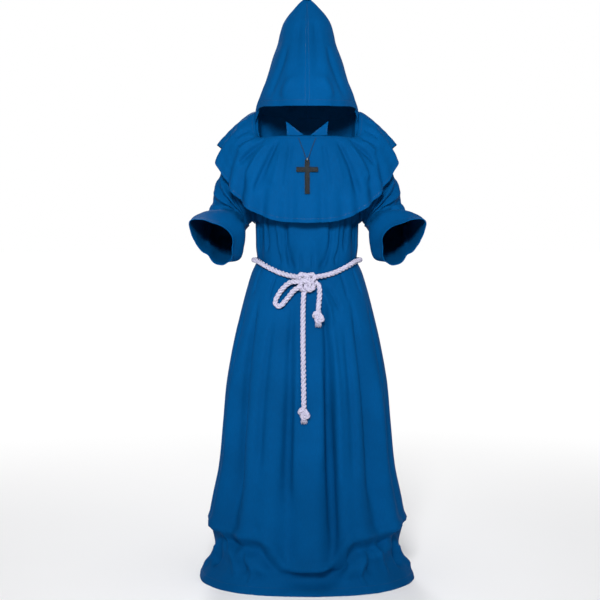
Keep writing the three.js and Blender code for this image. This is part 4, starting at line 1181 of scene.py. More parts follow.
def face_outwards(piece, fill_holes=False):
    """Turns every face outwards, and first closes open ends where that is asked."""
    shape = bmesh.new()
    shape.from_mesh(piece.data)
    if fill_holes:
        open_edges = [edge for edge in shape.edges if len(edge.link_faces) < 2]
        bmesh.ops.holes_fill(shape, edges=open_edges, sides=0)
    bmesh.ops.recalc_face_normals(shape, faces=shape.faces)
    shape.to_mesh(piece.data)
    shape.free()


class Stitches:
    """Short stitches of thread along lines on the cloth, gathered into one mesh."""

    def __init__(self, pitch, length, width, height):
        self.pitch = pitch
        self.length = length
        self.width = width
        self.height = height
        self.vertices = []
        self.faces = []

    def add_line(self, points, normals):
        """Lays stitches along a line of points in millimetres."""
        steps = np.linalg.norm(np.diff(points, axis=0), axis=-1)
        walked = np.concatenate(([0], np.cumsum(steps)))
        starts = np.arange(self.pitch, walked[-1] - self.pitch, self.pitch)

        def on_line(values, place):
            return np.stack([np.interp(place, walked, values[:, axis]) for axis in range(3)], axis=-1)

        centre = on_line(points, starts)
        ahead = on_line(points, starts + 0.5) - on_line(points, starts - 0.5)
        ahead /= np.linalg.norm(ahead, axis=-1, keepdims=True)
        out = on_line(normals, starts)
        out /= np.linalg.norm(out, axis=-1, keepdims=True)
        across = np.cross(out, ahead)
        for middle, forward, up, side in zip(centre, ahead, out, across):
            self.add_stitch(middle, forward, up, side)

    def add_stitch(self, middle, forward, up, side):
        first = len(self.vertices)
        for share, rise in STITCH_PROFILE:
            for hand in (-0.5, 0.5):
                along = middle + forward * share * self.length
                self.vertices.append(along + side * hand * self.width + up * rise * self.height)
        for step in (0, 2, 4):
            self.faces.append((first + step, first + step + 2, first + step + 3, first + step + 1))
        self.faces.append((first, first + 1, first + 7, first + 6))
        self.faces.append((first, first + 6, first + 4, first + 2))
        self.faces.append((first + 1, first + 3, first + 5, first + 7))

    def finish(self, name, body):
        piece = mesh_object(name, in_frame(self.vertices), self.faces, smooth=False)
        face_outwards(piece)
        dress(piece, "thread")
        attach(piece, body)
        return piece


def new_stitches(settings):
    pitch = settings.stitch_pitch
    return Stitches(pitch, pitch * STITCH["share"], STITCH["width"], STITCH["height"])


def sew(add_part, parts, stitching):
    """Adds the two parts of a piece and the stitches on both."""
    settings = cloth_settings()
    stitches = new_stitches(settings)
    for name, side in parts.items():
        add_part(name, side, settings, stitches)
    stitches.finish(stitching, GARMENT)
    return {"FINISHED"}


def sweep_frames(points, closed=False):
    """Tangents and steady side directions along a line of points."""
    points = np.asarray(points, dtype=float)
    if closed:
        tangents = np.roll(points, -1, axis=0) - np.roll(points, 1, axis=0)
    else:
        tangents = np.gradient(points, axis=0)
    tangents /= np.linalg.norm(tangents, axis=-1, keepdims=True)
    side = np.cross(tangents[0], (0.0, 1.0, 0.0))
    if np.linalg.norm(side) < 0.2:
        side = np.cross(tangents[0], (1.0, 0.0, 0.0))
    side /= np.linalg.norm(side)
    sides = [side]
    for tangent in tangents[1:]:
        side = sides[-1] - tangent * np.dot(sides[-1], tangent)
        sides.append(side / np.linalg.norm(side))
    sides = np.array(sides)
    if closed:
        back = sides[-1] - tangents[0] * np.dot(sides[-1], tangents[0])
        back /= np.linalg.norm(back)
        slip = math.atan2(np.dot(np.cross(back, sides[0]), tangents[0]), np.dot(back, sides[0]))
        turns = slip * np.linspace(0, 1, len(points))
        ups = np.cross(tangents, sides)
        sides = sides * np.cos(turns)[:, None] + ups * np.sin(turns)[:, None]
    return tangents, sides, np.cross(tangents, sides)


def smooth_line(route, step, closed=False):
    """A smooth line through a route's points, with places a step apart."""
    knots = np.array(route, dtype=float)
    count = len(knots)
    if closed:
        knots = np.concatenate((knots[-1:], knots, knots[:2]))
        spans = count
    else:
        knots = np.concatenate((2 * knots[:1] - knots[1:2], knots, 2 * knots[-1:] - knots[-2:-1]))
        spans = count - 1
    dense = []
    for index in range(spans):
        p0, p1, p2, p3 = knots[index : index + 4]
        t0 = 0.0
        t1, t2, t3 = np.cumsum([math.sqrt(math.dist(a, b)) for a, b in ((p0, p1), (p1, p2), (p2, p3))])
        t = np.linspace(t1, t2, SPLINE_STEPS + 1)[:-1, None]
        a1 = (t1 - t) / (t1 - t0) * p0 + (t - t0) / (t1 - t0) * p1
        a2 = (t2 - t) / (t2 - t1) * p1 + (t - t1) / (t2 - t1) * p2
        a3 = (t3 - t) / (t3 - t2) * p2 + (t - t2) / (t3 - t2) * p3
        b1 = (t2 - t) / (t2 - t0) * a1 + (t - t0) / (t2 - t0) * a2
        b2 = (t3 - t) / (t3 - t1) * a2 + (t - t1) / (t3 - t1) * a3
        dense.append((t2 - t) / (t2 - t1) * b1 + (t - t1) / (t2 - t1) * b2)
    dense.append(knots[1:2] if closed else knots[-2:-1])
    dense = np.concatenate(dense)
    lengths = np.concatenate(([0], np.cumsum(np.linalg.norm(np.diff(dense, axis=0), axis=-1))))
    count = max(8, round(lengths[-1] / step))
    places = np.linspace(0, lengths[-1], count + 1)
    line = np.stack([np.interp(places, lengths, dense[:, axis]) for axis in range(3)], axis=-1)
    return line[:-1] if closed else line


def strand_outline(diameter, strands, sides):
    """The outline of a twisted rope: how far it reaches at each angle round its middle."""
    half = math.pi / strands
    touching = 1 / (1 + 1 / math.sin(half))
    strand = diameter / 2 * touching * STRAND_FULLNESS
    middle = diameter / 2 - strand
    turns = np.linspace(-half, half, sides + 1)[:-1]
    reach = middle * np.cos(turns) + np.sqrt(np.maximum(strand**2 - (middle * np.sin(turns)) ** 2, 0))
    angles = np.concatenate([turns + 2 * half * index for index in range(strands)])
    return angles, np.tile(reach, strands)


def twisted_rope(line, diameter, lay, strands=3, sides=8, closed=False, turned=0.0):
    """Vertices, faces and UV places of a rope whose strands wind along a line."""
    tangents, side, up = sweep_frames(line, closed)
    steps = np.linalg.norm(np.diff(line, axis=0), axis=-1)
    walked = np.concatenate(([0], np.cumsum(steps)))
    turns = walked / lay
    if closed:
        whole = walked[-1] + np.linalg.norm(line[0] - line[-1])
        per_strand = max(1, round(whole / lay * strands)) / strands
        turns = walked / whole * per_strand
    angles, reach = strand_outline(diameter, strands, sides)
    spin = angles[None, :] + 2 * math.pi * turns[:, None] + turned
    ring = side[:, None] * (np.cos(spin) * reach)[..., None] + up[:, None] * (np.sin(spin) * reach)[..., None]
    vertices = line[:, None] + ring
    rows, columns = vertices.shape[:2]
    faces = []
    uvs = []
    shift = round(per_strand * strands) * sides if closed else 0
    around_mm = math.pi * diameter / columns
    for row in range(rows if closed else rows - 1):
        after = (row + 1) % rows
        slip = shift if after < row or (closed and after == 0) else 0
        low = walked[row]
        high = walked[row + 1] if row + 1 < rows else walked[-1] + steps[-1]
        for column in range(columns):
            beside = (column + 1) % columns
            faces.append(
                (
                    row * columns + column,
                    row * columns + beside,
                    after * columns + (beside + slip) % columns,
                    after * columns + (column + slip) % columns,
                )
            )
            left, right = column * around_mm, (column + 1) * around_mm
            uvs.extend(((left, low), (right, low), (right, high), (left, high)))
    if not closed:
        faces.append(tuple(reversed(range(columns))))
        faces.append(tuple(range((rows - 1) * columns, rows * columns)))
        uvs.extend([(0, 0)] * (2 * columns))
    return vertices.reshape(-1, 3), faces, np.array(uvs) * MM


def rope_object(name, parts):
    """One object from several ropes or strands."""
    vertices = []
    faces = []
    uvs = []
    for part_vertices, part_faces, part_uvs in parts:
        first = sum(len(v) for v in vertices)
        vertices.append(in_frame(part_vertices))
        faces.extend([tuple(first + corner for corner in face) for face in part_faces])
        uvs.append(part_uvs)
    piece = mesh_object(name, np.concatenate(vertices), faces, np.concatenate(uvs))
    face_outwards(piece)
    return piece


def rope_turn(turn, centre, settings):
    """A closed oval turn of rope round a place: tilt turns it in the picture, and lean brings it out."""
    points = []
    for step in range(KNOT_STEPS):
        angle = 2 * math.pi * step / KNOT_STEPS
        point = Vector((turn["wide"] * math.cos(angle), 0, turn["high"] * math.sin(angle)))
        point.rotate(Euler((math.radians(turn["lean"]), math.radians(turn["tilt"]), 0)))
        points.append(point + Vector((turn["side"], -turn["forward"], turn["height"])) + Vector(centre))
    line = smooth_line([tuple(point) for point in points], settings.rope_step, closed=True)
    return twisted_rope(line, settings.rope_diameter, settings.rope_lay, closed=True)


def frayed_strands(root):
    """The opened yarns of a rope's end: thin strands that leave the knot and spread a little."""
    draw = random.Random(7)
    parts = []
    for index in range(TUFT_STRANDS["count"]):
        share = math.sqrt((index + 0.5) / TUFT_STRANDS["count"])
        turn = math.radians(index * TUFT_STRANDS["turn"])
        out = TUFT["spread"] * share
        x = out * math.cos(turn)
        y = out * math.sin(turn) * TUFT["flatness"]
        length = TUFT["length"] * draw.uniform(*TUFT_LENGTHS)
        drift = Vector((draw.uniform(-1, 1), draw.uniform(-1, 1), 0)) * TUFT_STRANDS["drift"]
        line = []
        for step in range(TUFT_STRANDS["steps"] + 1):
            part = step / TUFT_STRANDS["steps"]
            flare = 1 + TUFT["flare"] * part * part
            side = root[0] + x * flare + drift.x * part
            depth = root[1] + y * flare + drift.y * part * TUFT["flatness"]
            line.append((side, depth, root[2] - length * part))
        thick = draw.uniform(*TUFT_WIDTHS)
        parts.append(twisted_rope(np.array(line), thick, TUFT_STRANDS["lay"], strands=2, sides=3))
    return parts


def dress(piece, name):
    piece.data.materials.clear()
    piece.data.materials.append(MATERIALS[name]())


def cloth_settings():
    return bpy.context.scene.monk_cloth


def rope_settings():
    return bpy.context.scene.monk_rope


def colour_settings():
    return bpy.context.scene.monk_colours


def deselect_all():
    if bpy.context.mode != "OBJECT":
        bpy.ops.object.mode_set(mode="OBJECT")
    bpy.ops.object.select_all(action="DESELECT")


def hand_over(piece, node, slot, body=GARMENT):
    """Gives a piece its material and tells the frame what it rides on and which node it replaces."""
    dress(piece, slot)
    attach(piece, body)
    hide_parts(node)


def finish_cloth(piece, node, slot):
    """Hands a cloth piece to the frame: gives it its material, attaches it to the garment and hides the node it
    replaces.
    """
    hand_over(piece, node, slot)


class Socket:
    """A shader value. Sums and products of it add the Math nodes that work them out."""

    def __init__(self, maker, link):
        self.maker = maker
        self.link = link

    def math(self, operation, *others):
        return self.maker.node("ShaderNodeMath", {"operation": operation}, dict(enumerate((self, *others))))

    def __add__(self, other):
        return self.math("ADD", other)

    def __mul__(self, other):
        return self.math("MULTIPLY", other)

    def sine(self):
        return self.math("SINE")

    def absolute(self):
        return self.math("ABSOLUTE")


class Finish:
    """A material with one Principled shader, and the one method that adds nodes to it."""

    def __init__(self, name, **constants):
        self.material = bpy.data.materials.new(name)
        self.material.use_nodes = True
        self.tree = self.material.node_tree
        self.tree.nodes.clear()
        self.shader = self.tree.nodes.new("ShaderNodeBsdfPrincipled")
        output = self.tree.nodes.new("ShaderNodeOutputMaterial")
        self.tree.links.new(self.shader.outputs["BSDF"], output.inputs["Surface"])
        for name, value in constants.items():
            self.shader.inputs[name.replace("_", " ")].default_value = value

    def node(self, kind, settings=None, values=None, output=0):
        """Adds a node of a type with its settings, then the values or links of its sockets."""
        node = self.tree.nodes.new(kind)
        for name, value in (settings or {}).items():
            setattr(node, name, value)
        for name, value in (values or {}).items():
            self.feed(node.inputs[name], value)
        return Socket(self, node.outputs[output])

    def feed(self, socket, value):
        if isinstance(value, Socket):
            self.tree.links.new(value.link, socket)
        else:
            socket.default_value = value

    def set(self, **values):
        for name, value in values.items():
            self.feed(self.shader.inputs[name.replace("_", " ")], value)

    def part_of(self, vector, axis):
        return self.node("ShaderNodeSeparateXYZ", None, {0: vector}, output=axis)

    def object_place(self):
        return self.node("ShaderNodeTexCoord", None, None, output=3)

    def cloth_place(self):
        return self.node("ShaderNodeUVMap", {"uv_map": "flat_cloth"})

    def noise(self, place, scale=1.0, detail=2.0, roughness=0.5):
        values = {"Vector": place, "Scale": scale, "Detail": detail, "Roughness": roughness}
        return self.node("ShaderNodeTexNoise", None, values)

    def stretched(self, place, scale):
        return self.node("ShaderNodeMapping", None, {"Vector": place, "Scale": scale})

    def mixed(self, share, first, second):
        return self.node("ShaderNodeMix", {"data_type": "RGBA"}, {0: share, 6: first, 7: second}, output=2)

    def ranged(self, value, low, high, new_low, new_high):
        values = {"Value": value, "From Min": low, "From Max": high, "To Min": new_low, "To Max": new_high}
        return self.node("ShaderNodeMapRange", None, values)

    def bump(self, height, strength, distance, normal=None):
        values = {"Height": height, "Strength": strength, "Distance": distance}
        if normal is not None:
            values["Normal"] = normal
        return self.node("ShaderNodeBump", None, values)


def with_alpha(colour, brightness=1.0):
    return (*[min(1.0, channel * brightness) for channel in colour[:3]], 1.0)


def remembered(make):
    """Makes a material once and hands out the same one after that."""
    made = {}

    def get():
        if "material" not in made:
            made["material"] = make()
        return made["material"]

    return get


@remembered
def blue_cloth():
    """Fine woven polyester with a brushed face: soft sheen, faint threads and uneven nap."""
    colours = colour_settings()
    finish = Finish(
        "royal_blue_cloth",
        Metallic=0.0,
        Specular_IOR_Level=0.012,
        Sheen_Weight=0.03,
        Sheen_Roughness=0.5,
        Sheen_Tint=(0.0, 0.35, 1.0, 1.0),
    )
    place = finish.object_place()
    flat = finish.cloth_place()
    cloudy = finish.noise(place, scale=5.5, detail=3.0, roughness=0.55)
    brushed = finish.noise(finish.stretched(flat, (260.0, 55.0, 1.0)), detail=3.0, roughness=0.6)
    grain = finish.noise(finish.stretched(flat, (900.0, 900.0, 1.0)), roughness=0.6)
    nap = finish.ranged(cloudy, 0.3, 0.7, 0.0, 1.0)
    worn = finish.mixed(nap, with_alpha(colours.cloth, 0.9), with_alpha(colours.cloth, 1.1))
    streaks = finish.ranged(brushed, 0.3, 0.7, 0.94, 1.06) * finish.ranged(grain, 0.25, 0.75, 0.93, 1.07)
    colour = finish.node("ShaderNodeVectorMath", {"operation": "SCALE"}, {0: worn, "Scale": streaks})
    across = finish.part_of(flat, 0)
    along = finish.part_of(flat, 1)
    pitch = 2 * math.pi / colours.thread_pitch
    warp = (across * pitch).sine()
    weft = (along * pitch).sine()
    weave = (warp * weft).absolute()
    threads = finish.bump(weave, strength=0.35, distance=0.0002)
    fuzz = finish.bump(grain, 0.25, 0.0004, normal=threads)
    finish.set(
        Base_Color=colour,
        Roughness=finish.ranged(brushed, 0.3, 0.7, 0.58, 0.72),
        Normal=finish.bump(finish.noise(place, scale=38.0, detail=3.0), 0.12, 0.0025, normal=fuzz),
    )
    return finish.material


@remembered
def thread():
    """Polyester thread a shade darker than the cloth."""
    colours = colour_settings()
    finish = Finish("blue_thread", Metallic=0.0, Specular_IOR_Level=0.25)
    fine = finish.noise(finish.object_place(), scale=900.0)
    finish.set(
        Base_Color=finish.mixed(fine, with_alpha(colours.cloth, 0.55), with_alpha(colours.cloth, 0.8)),
        Roughness=finish.ranged(fine, 0.3, 0.7, 0.4, 0.55),
    )
    return finish.material


@remembered
def rope():
    """Soft twisted cotton: pale yarns that wind against the strands, with painted shade darkening the grooves
    between them.
    """
    colours = colour_settings()
    finish = Finish(
        "pale_rope",
        Metallic=0.0,
        Specular_IOR_Level=0.2,
        Sheen_Weight=0.25,
        Sheen_Roughness=0.5,
    )
    flat = finish.cloth_place()
    across = finish.part_of(flat, 0)
    along = finish.part_of(flat, 1)
    yarns = ((across * 0.8 + along) * (2 * math.pi / colours.yarn_pitch)).sine()
    fibres = finish.noise(finish.stretched(flat, (700.0, 2600.0, 1.0)), detail=3.0, roughness=0.6)
    blotches = finish.noise(finish.object_place(), scale=60.0)
    # The yarns' own pale colour darkens to the groove colour between them: painted shade in the recesses.
    shade = finish.ranged(yarns + fibres * 1.4, -0.9, 1.9, 0.0, 1.0)
    pale = finish.mixed(shade, with_alpha(colours.rope_groove_shade), with_alpha(colours.rope))
    duller = finish.ranged(blotches, 0.45, 0.75, 0.0, 0.35)
    colour = finish.mixed(duller, pale, with_alpha(colours.rope_tint))
    ridges = finish.bump(yarns, 0.55, 0.0006)
    finish.set(
        Base_Color=colour,
        Roughness=finish.ranged(fibres, 0.3, 0.7, 0.78, 0.9),
        Normal=finish.bump(fibres, 0.4, 0.0005, normal=ridges),
    )
    return finish.material


@remembered
def dark_cord():
    """Waxed cotton cord, dark navy."""
    colours = colour_settings()
    finish = Finish("dark_cord", Metallic=0.0, Specular_IOR_Level=0.3)
    fine = finish.noise(finish.object_place(), scale=1400.0)
    finish.set(
        Base_Color=finish.mixed(fine, with_alpha(colours.cord, 0.7), with_alpha(colours.cord, 1.4)),
        Roughness=finish.ranged(fine, 0.3, 0.7, 0.6, 0.75),
        Normal=finish.bump(fine, 0.3, 0.0002),
    )
    return finish.material


@remembered
def cross_metal():
    """Cast metal darkened all over, worn a little brighter where it is rubbed."""
    colours = colour_settings()
    finish = Finish("darkened_metal", Specular_IOR_Level=0.12)
    place = finish.object_place()
    blotches = finish.noise(place, scale=90.0, detail=4.0, roughness=0.6)
    pits = finish.noise(place, scale=520.0, detail=3.0, roughness=0.6)
    rubbed = finish.ranged(blotches, 0.42, 0.68, 0.0, 1.0)
    finish.set(
        Base_Color=finish.mixed(rubbed, with_alpha(colours.cross, 0.75), with_alpha(colours.cross, 1.5)),
        Metallic=finish.ranged(rubbed, 0.0, 1.0, 0.1, 0.4),
        Roughness=finish.ranged(pits, 0.3, 0.7, 0.45, 0.65),
        Normal=finish.bump(pits, 0.35, 0.0003),
    )
    return finish.material


@remembered
def ring_metal():
    """Bright plated wire with fine drawing lines."""
    colours = colour_settings()
    finish = Finish("bright_wire", Metallic=1.0)
    lines = finish.noise(finish.stretched(finish.object_place(), (400.0, 3000.0, 3000.0)))
    finish.set(
        Base_Color=finish.mixed(lines, with_alpha(colours.ring, 0.85), with_alpha(colours.ring)),
        Roughness=finish.ranged(lines, 0.3, 0.7, 0.16, 0.3),
        Normal=finish.bump(lines, 0.1, 0.0001),
    )
    return finish.material


@remembered
def studio_floor():
    """Matt pale paint near the costume, which glows white further away so that no horizon shows."""
    colours = colour_settings()
    finish = Finish("studio_floor", Metallic=0.0, Specular_IOR_Level=0.05, Emission_Strength=1.0)
    place = finish.object_place()
    patches = finish.noise(place, scale=1.5)
    away = finish.node("ShaderNodeVectorMath", {"operation": "LENGTH"}, {0: place}, output=1)
    glow = finish.node(
        "ShaderNodeMapRange", {"interpolation_type": "SMOOTHSTEP"}, {"Value": away, **FLOOR_GLOW}
    )
    near = finish.mixed(patches, with_alpha(colours.floor, 0.985), with_alpha(colours.floor))
    finish.set(
        Base_Color=finish.mixed(glow, near, BLACK),
        Emission_Color=finish.mixed(glow, BLACK, WHITE),
        Roughness=0.9,
    )
    return finish.material


MATERIALS = {
    "blue_cloth": blue_cloth,
    "thread": thread,
    "rope": rope,
    "dark_cord": dark_cord,
    "cross_metal": cross_metal,
    "ring_metal": ring_metal,
    "studio_floor": studio_floor,
}


def colour_property(name, description, default):
    return bpy.props.FloatVectorProperty(
        name=name, description=description, default=default, subtype="COLOR", size=3, min=0.0, max=1.0
    )


def power_property(name, description, default):
    return bpy.props.FloatProperty(name=name, description=description, default=default, subtype="POWER")


def length_property(name, description, default):
    return bpy.props.FloatProperty(
        name=name, description=description, default=default, subtype="DISTANCE", unit="LENGTH"
    )


def mm_property(name, description, default, low, high):
    return bpy.props.FloatProperty(
        name=name, description=f"{description}, mm", default=default, min=low, max=high
    )


class MonkClothSettings(bpy.types.PropertyGroup):
    """Sizes of the cloth, in millimetres."""

    thickness: mm_property("Cloth", "Thickness of the cloth", 1.1, 0.5, 3.0)
    hem: mm_property("Hem", "Depth of the robe's and the sleeves' hems", 24.0, 5.0, 60.0)
    stitch_pitch: mm_property("Stitch pitch", "From one stitch to the next", 4.6, 2.0, 12.0)
    crease_strength: bpy.props.FloatProperty(
        name="Creases", description="How deep the fine creases are", default=1.8, min=0.0, max=4.0
    )
    ripple: mm_property("Ripple", "Height of the cloth's own unevenness", 0.9, 0.0, 4.0)


class MonkRopeSettings(bpy.types.PropertyGroup):
    """Sizes of the rope and the cord, in millimetres."""

    rope_diameter: mm_property("Rope", "Diameter of the rope", 16.5, 6.0, 30.0)
    rope_lay: mm_property("Rope lay", "Length of one whole twist of the rope", 40.0, 20.0, 90.0)
    rope_step: mm_property("Rope step", "Length of one ring of faces", 2.2, 1.0, 6.0)
    cord_diameter: mm_property("Cord", "Diameter of the pendant's cord", 2.4, 1.0, 6.0)
    cord_lay: mm_property("Cord lay", "Length of one whole twist of the cord", 9.0, 4.0, 30.0)


class MonkColourSettings(bpy.types.PropertyGroup):
    """Colours and the scale of the weave."""

    cloth: colour_property("Cloth", "Colour of the cloth", (0.0002, 0.0468, 0.153))
    rope: colour_property("Rope", "Colour of the rope's yarns", (0.5, 0.49, 0.6))
    # The groove colour is painted shade that darkens the rope between its yarns.
    rope_groove_shade: colour_property("Rope groove", "Colour between the yarns", (0.2, 0.18, 0.29))
    rope_tint: colour_property("Rope tint", "Colour of the rope's duller patches", (0.44, 0.4, 0.56))
    cord: colour_property("Cord", "Colour of the pendant's cord", (0.008, 0.014, 0.028))
    cross: colour_property("Cross", "Colour of the darkened metal", (0.002, 0.004, 0.006))
    ring: colour_property("Ring", "Colour of the bright wire", (0.78, 0.8, 0.82))
    floor: colour_property("Floor", "Colour of the studio floor", (0.93, 0.93, 0.94))
    thread_pitch: bpy.props.FloatProperty(
        name="Weave pitch", description="From one thread to the next", default=0.0011, subtype="DISTANCE"
    )
    yarn_pitch: bpy.props.FloatProperty(
        name="Yarn pitch", description="From one yarn to the next", default=0.0034, subtype="DISTANCE"
    )


class MonkStageSettings(bpy.types.PropertyGroup):
    """The studio round the costume."""

    camera_height: length_property("Camera height", "Above the floor", 1.05)
    camera_distance: length_property("Camera distance", "In front of the costume", 4.0)
    side: length_property("Camera side", "Towards +X", -0.022)
    focal_pixels: bpy.props.FloatProperty(
        name="Focal length", description="In pixels of a 600 pixel wide frame", default=1254.0
    )
    horizon: bpy.props.FloatProperty(
        name="Horizon", description="How far the frame's middle lies under it, of its width", default=0.09
    )
    key: power_property("Key light", "Power of the front light", 33.0)
    top: power_property("Top light", "Power of the light above", 18.0)
    back: power_property("Back light", "Power of the light behind", 80.0)
    sky: bpy.props.FloatProperty(name="Ceiling", description="Brightness of the ceiling", default=0.2)


class MONK_OT_robe(bpy.types.Operator):
    """Adds the robe's front and back with their folds, hems and seams"""

    bl_idname = "monk.robe"
    bl_label = "Robe"

    def execute(self, context):
        return sew(self.add_panel, FACES, "robe_stitching")

    def add_panel(self, name, face, settings, stitches):
        angles = spaced(-90, 90, ROBE_STEPS["column"], clusters=(-90, 90), fine=EDGE_STEP)
        hem_rows = np.array(ROBE_HEM_ROWS) / ARMPIT_HEIGHT
        below = spaced(ROBE_STEPS["from"] / ARMPIT_HEIGHT, 1, ROBE_STEPS["row"] / ARMPIT_HEIGHT)
        yoke = spaced(1, 2, ROBE_STEPS["yoke"])[1:]
        rows = np.concatenate((hem_rows, below, yoke))
        angle, place = np.meshgrid(angles, rows)
        points = robe_panel(face, angle, place)
        turn = angle if face > 0 else 180 - angle
        height = points[..., 2]
        side_gap = 90 - np.abs(angle)
        calm = smoothstep(side_gap, 0, SEAM["robe"]["calm"])
        creases = creases_on("robe", ROBE_CREASES, turn, height, settings)
        creases = creases * (calm * (1 - smoothstep(place, *YOKE_FADE)))
        ripple = ripple_on("robe", turn, height * ROBE_RIPPLE_DOWN, settings)
        across = turn * RIPPLE["robe"]["degree"]
        fine = soft_noise(across, height, ROBE_FINE_RIPPLE["size"], ROBE_FINE_RIPPLE["seed"])
        ripple = ripple + fine * settings.ripple * ROBE_FINE_RIPPLE["share"]
        on_floor = smoothstep(height, *ON_FLOOR)
        from_belt = (height - belt_height(turn)) / UNDER_BELT["reach"]
        under_belt = 1 - UNDER_BELT["share"] * np.exp(-(from_belt**2))
        offset = (creases + ripple * calm) * on_floor * under_belt
        drawn_in = SEAM["robe"]["depth"] * seam_line("robe", side_gap) * on_floor
        offset = np.minimum(offset, ROBE_MOST_OUT) - drawn_in
        offset = offset + stitch_line(height, settings.hem)
        thickness = hem_thickness(height, settings.thickness, settings.hem)

        def trim(cloth, outer):
            """Keeps the cloth above the floor and on its own side of the seam."""
            cloth[..., 2] = np.maximum(cloth[..., 2], 0)
            cloth[..., 1] = face * np.minimum(face * cloth[..., 1], 0)
            return cloth

        points = trim(moved_out(points, offset, face), None)
        piece = cloth_wall(f"robe_{name}_cloth", points, thickness, face, trim=trim)
        finish_cloth(
            piece, f"robe_{name}", "blue_cloth"
        )
        normals = grid_normals(points, face, False)
        row = row_nearest(rows, (settings.hem - STITCHES_IN) / ARMPIT_HEIGHT)
        stitches.add_line(points[row], normals[row])


class MONK_OT_sleeves(bpy.types.Operator):
    """Adds both wide sleeves, bent at the elbow and open at the cuff"""

    bl_idname = "monk.sleeves"
    bl_label = "Sleeves"

    def execute(self, context):
        return sew(self.add_sleeve, SIDES, "sleeve_stitching")

    def add_sleeve(self, name, side, settings, stitches):
        turns = np.linspace(0, 360, SLEEVE_STEPS["columns"] + 1)[:-1]
        cuff = 1 - np.array(CUFF_ROWS) / SLEEVE_LENGTH
        parts = np.concatenate((spaced(0, cuff[0], SLEEVE_STEPS["row"])[:-1], cuff))
        turn, part = np.meshgrid(turns, parts)
        points = sleeve_surface(turn, part)
        down = part * SLEEVE_LENGTH
        creases = creases_on("sleeve", SLEEVE_CREASES, turn, down, settings)
        ripple = ripple_on("sleeve", turn, down, settings, side)
        from_cuff = (1 - part) * SLEEVE_LENGTH
        offset = (creases + ripple) * smoothstep(part, *SLEEVE_CALM) + stitch_line(from_cuff, settings.hem)
        points = moved_out(points, offset, 1, closed=True)
        points[..., 0] *= side
        thickness = hem_thickness(from_cuff, settings.thickness, settings.hem)

        def trim(inner, outer):
            """Keeps the wall's inner edge in the armhole's plane."""
            inner[0, :, 0] = outer[0, :, 0]
            return inner

        piece = cloth_wall(f"sleeve_{name}_cloth", points, thickness, side, closed=True, trim=trim)
        finish_cloth(
            piece, f"sleeve_{name}", "blue_cloth"
        )
        normals = grid_normals(points, side, True)
        row = row_nearest(from_cuff[:, 0], settings.hem - STITCHES_IN)
        stitches.add_line(points[row], normals[row])


class MONK_OT_hood(bpy.types.Operator):
    """Adds the two halves of the hood with the seam over the peak and the turned brim"""

    bl_idname = "monk.hood"
    bl_label = "Hood"

    def execute(self, context):
        return sew(self.add_half, SIDES, "hood_stitching")

    def add_half(self, name, side, settings, stitches):
        turns = spaced(0, 180, HOOD_STEPS["column"], clusters=(0, 180, HOOD_EDGE_ANGLE), fine=EDGE_STEP)
        edge = 1 - np.array(HOOD_EDGE_ROWS) / HOOD_FALL
        parts = np.concatenate((spaced(0, edge[0], HOOD_STEPS["row"])[:-1], edge))
        turn, part = np.meshgrid(turns, parts)
        points = hood_surface(turn, part)
        height = points[..., 2]
        creases = creases_on("hood", HOOD_CREASES, turn, height, settings)
        ripple = ripple_on("hood", turn, height, settings, side)
        seam_gap = np.minimum(turn, 180 - turn)
        calm = smoothstep(seam_gap, 0, SEAM["hood"]["calm"]) * (1 - smoothstep(part, *HOOD_EDGE_FADE))
        calm = calm * smoothstep(part, *HOOD_PEAK_FADE)
        drawn_in = seam_line("hood", seam_gap) * smoothstep(part, *SEAM_BEGINS)
        at_brim = 1 - smoothstep(turn, *BRIM_ENDS)
        from_edge = (1 - part) * HOOD_FALL
        offset = (creases + ripple) * calm - SEAM["hood"]["depth"] * drawn_in
        offset = offset + stitch_line(from_edge, HOOD_HEM) * at_brim
        points = moved_out(points, offset, -1)
        points[..., 0] = np.maximum(points[..., 0], 0)
        under_cape = smoothstep(turn, *HOOD_TUCK["angles"]) * smoothstep(part, HOOD_TUCK["from"], 1)
        points[..., 2] -= HOOD_TUCK["drop"] * under_cape
        points[..., 0] *= side
        thickness = hem_thickness(from_edge, settings.thickness, HOOD_HEM * at_brim)

        def trim(inner, outer):
            """Keeps the wall on its own side of the seam, and level under the peak."""
            inner[..., 0] = side * np.maximum(side * inner[..., 0], 0)
            inner[0, :, 2] = outer[0, :, 2] - settings.thickness
            return inner

        piece = cloth_wall(f"hood_{name}_cloth", points, thickness, -side, trim=trim)
        close_poles(piece)
        finish_cloth(
            piece, f"hood_{name}", "blue_cloth"
        )
        normals = grid_normals(points, -side, False)
        row = row_nearest(from_edge[:, 0], HOOD_HEM - STITCHES_IN)
        front = turns < BRIM_STITCHED_TO
        stitches.add_line(points[row][front], normals[row][front])
        for angle in (BESIDE_SEAM, 180 - BESIDE_SEAM):
            column = row_nearest(turns, angle)
            stitches.add_line(points[SEAM_FIRST_ROW:row, column], normals[SEAM_FIRST_ROW:row, column])


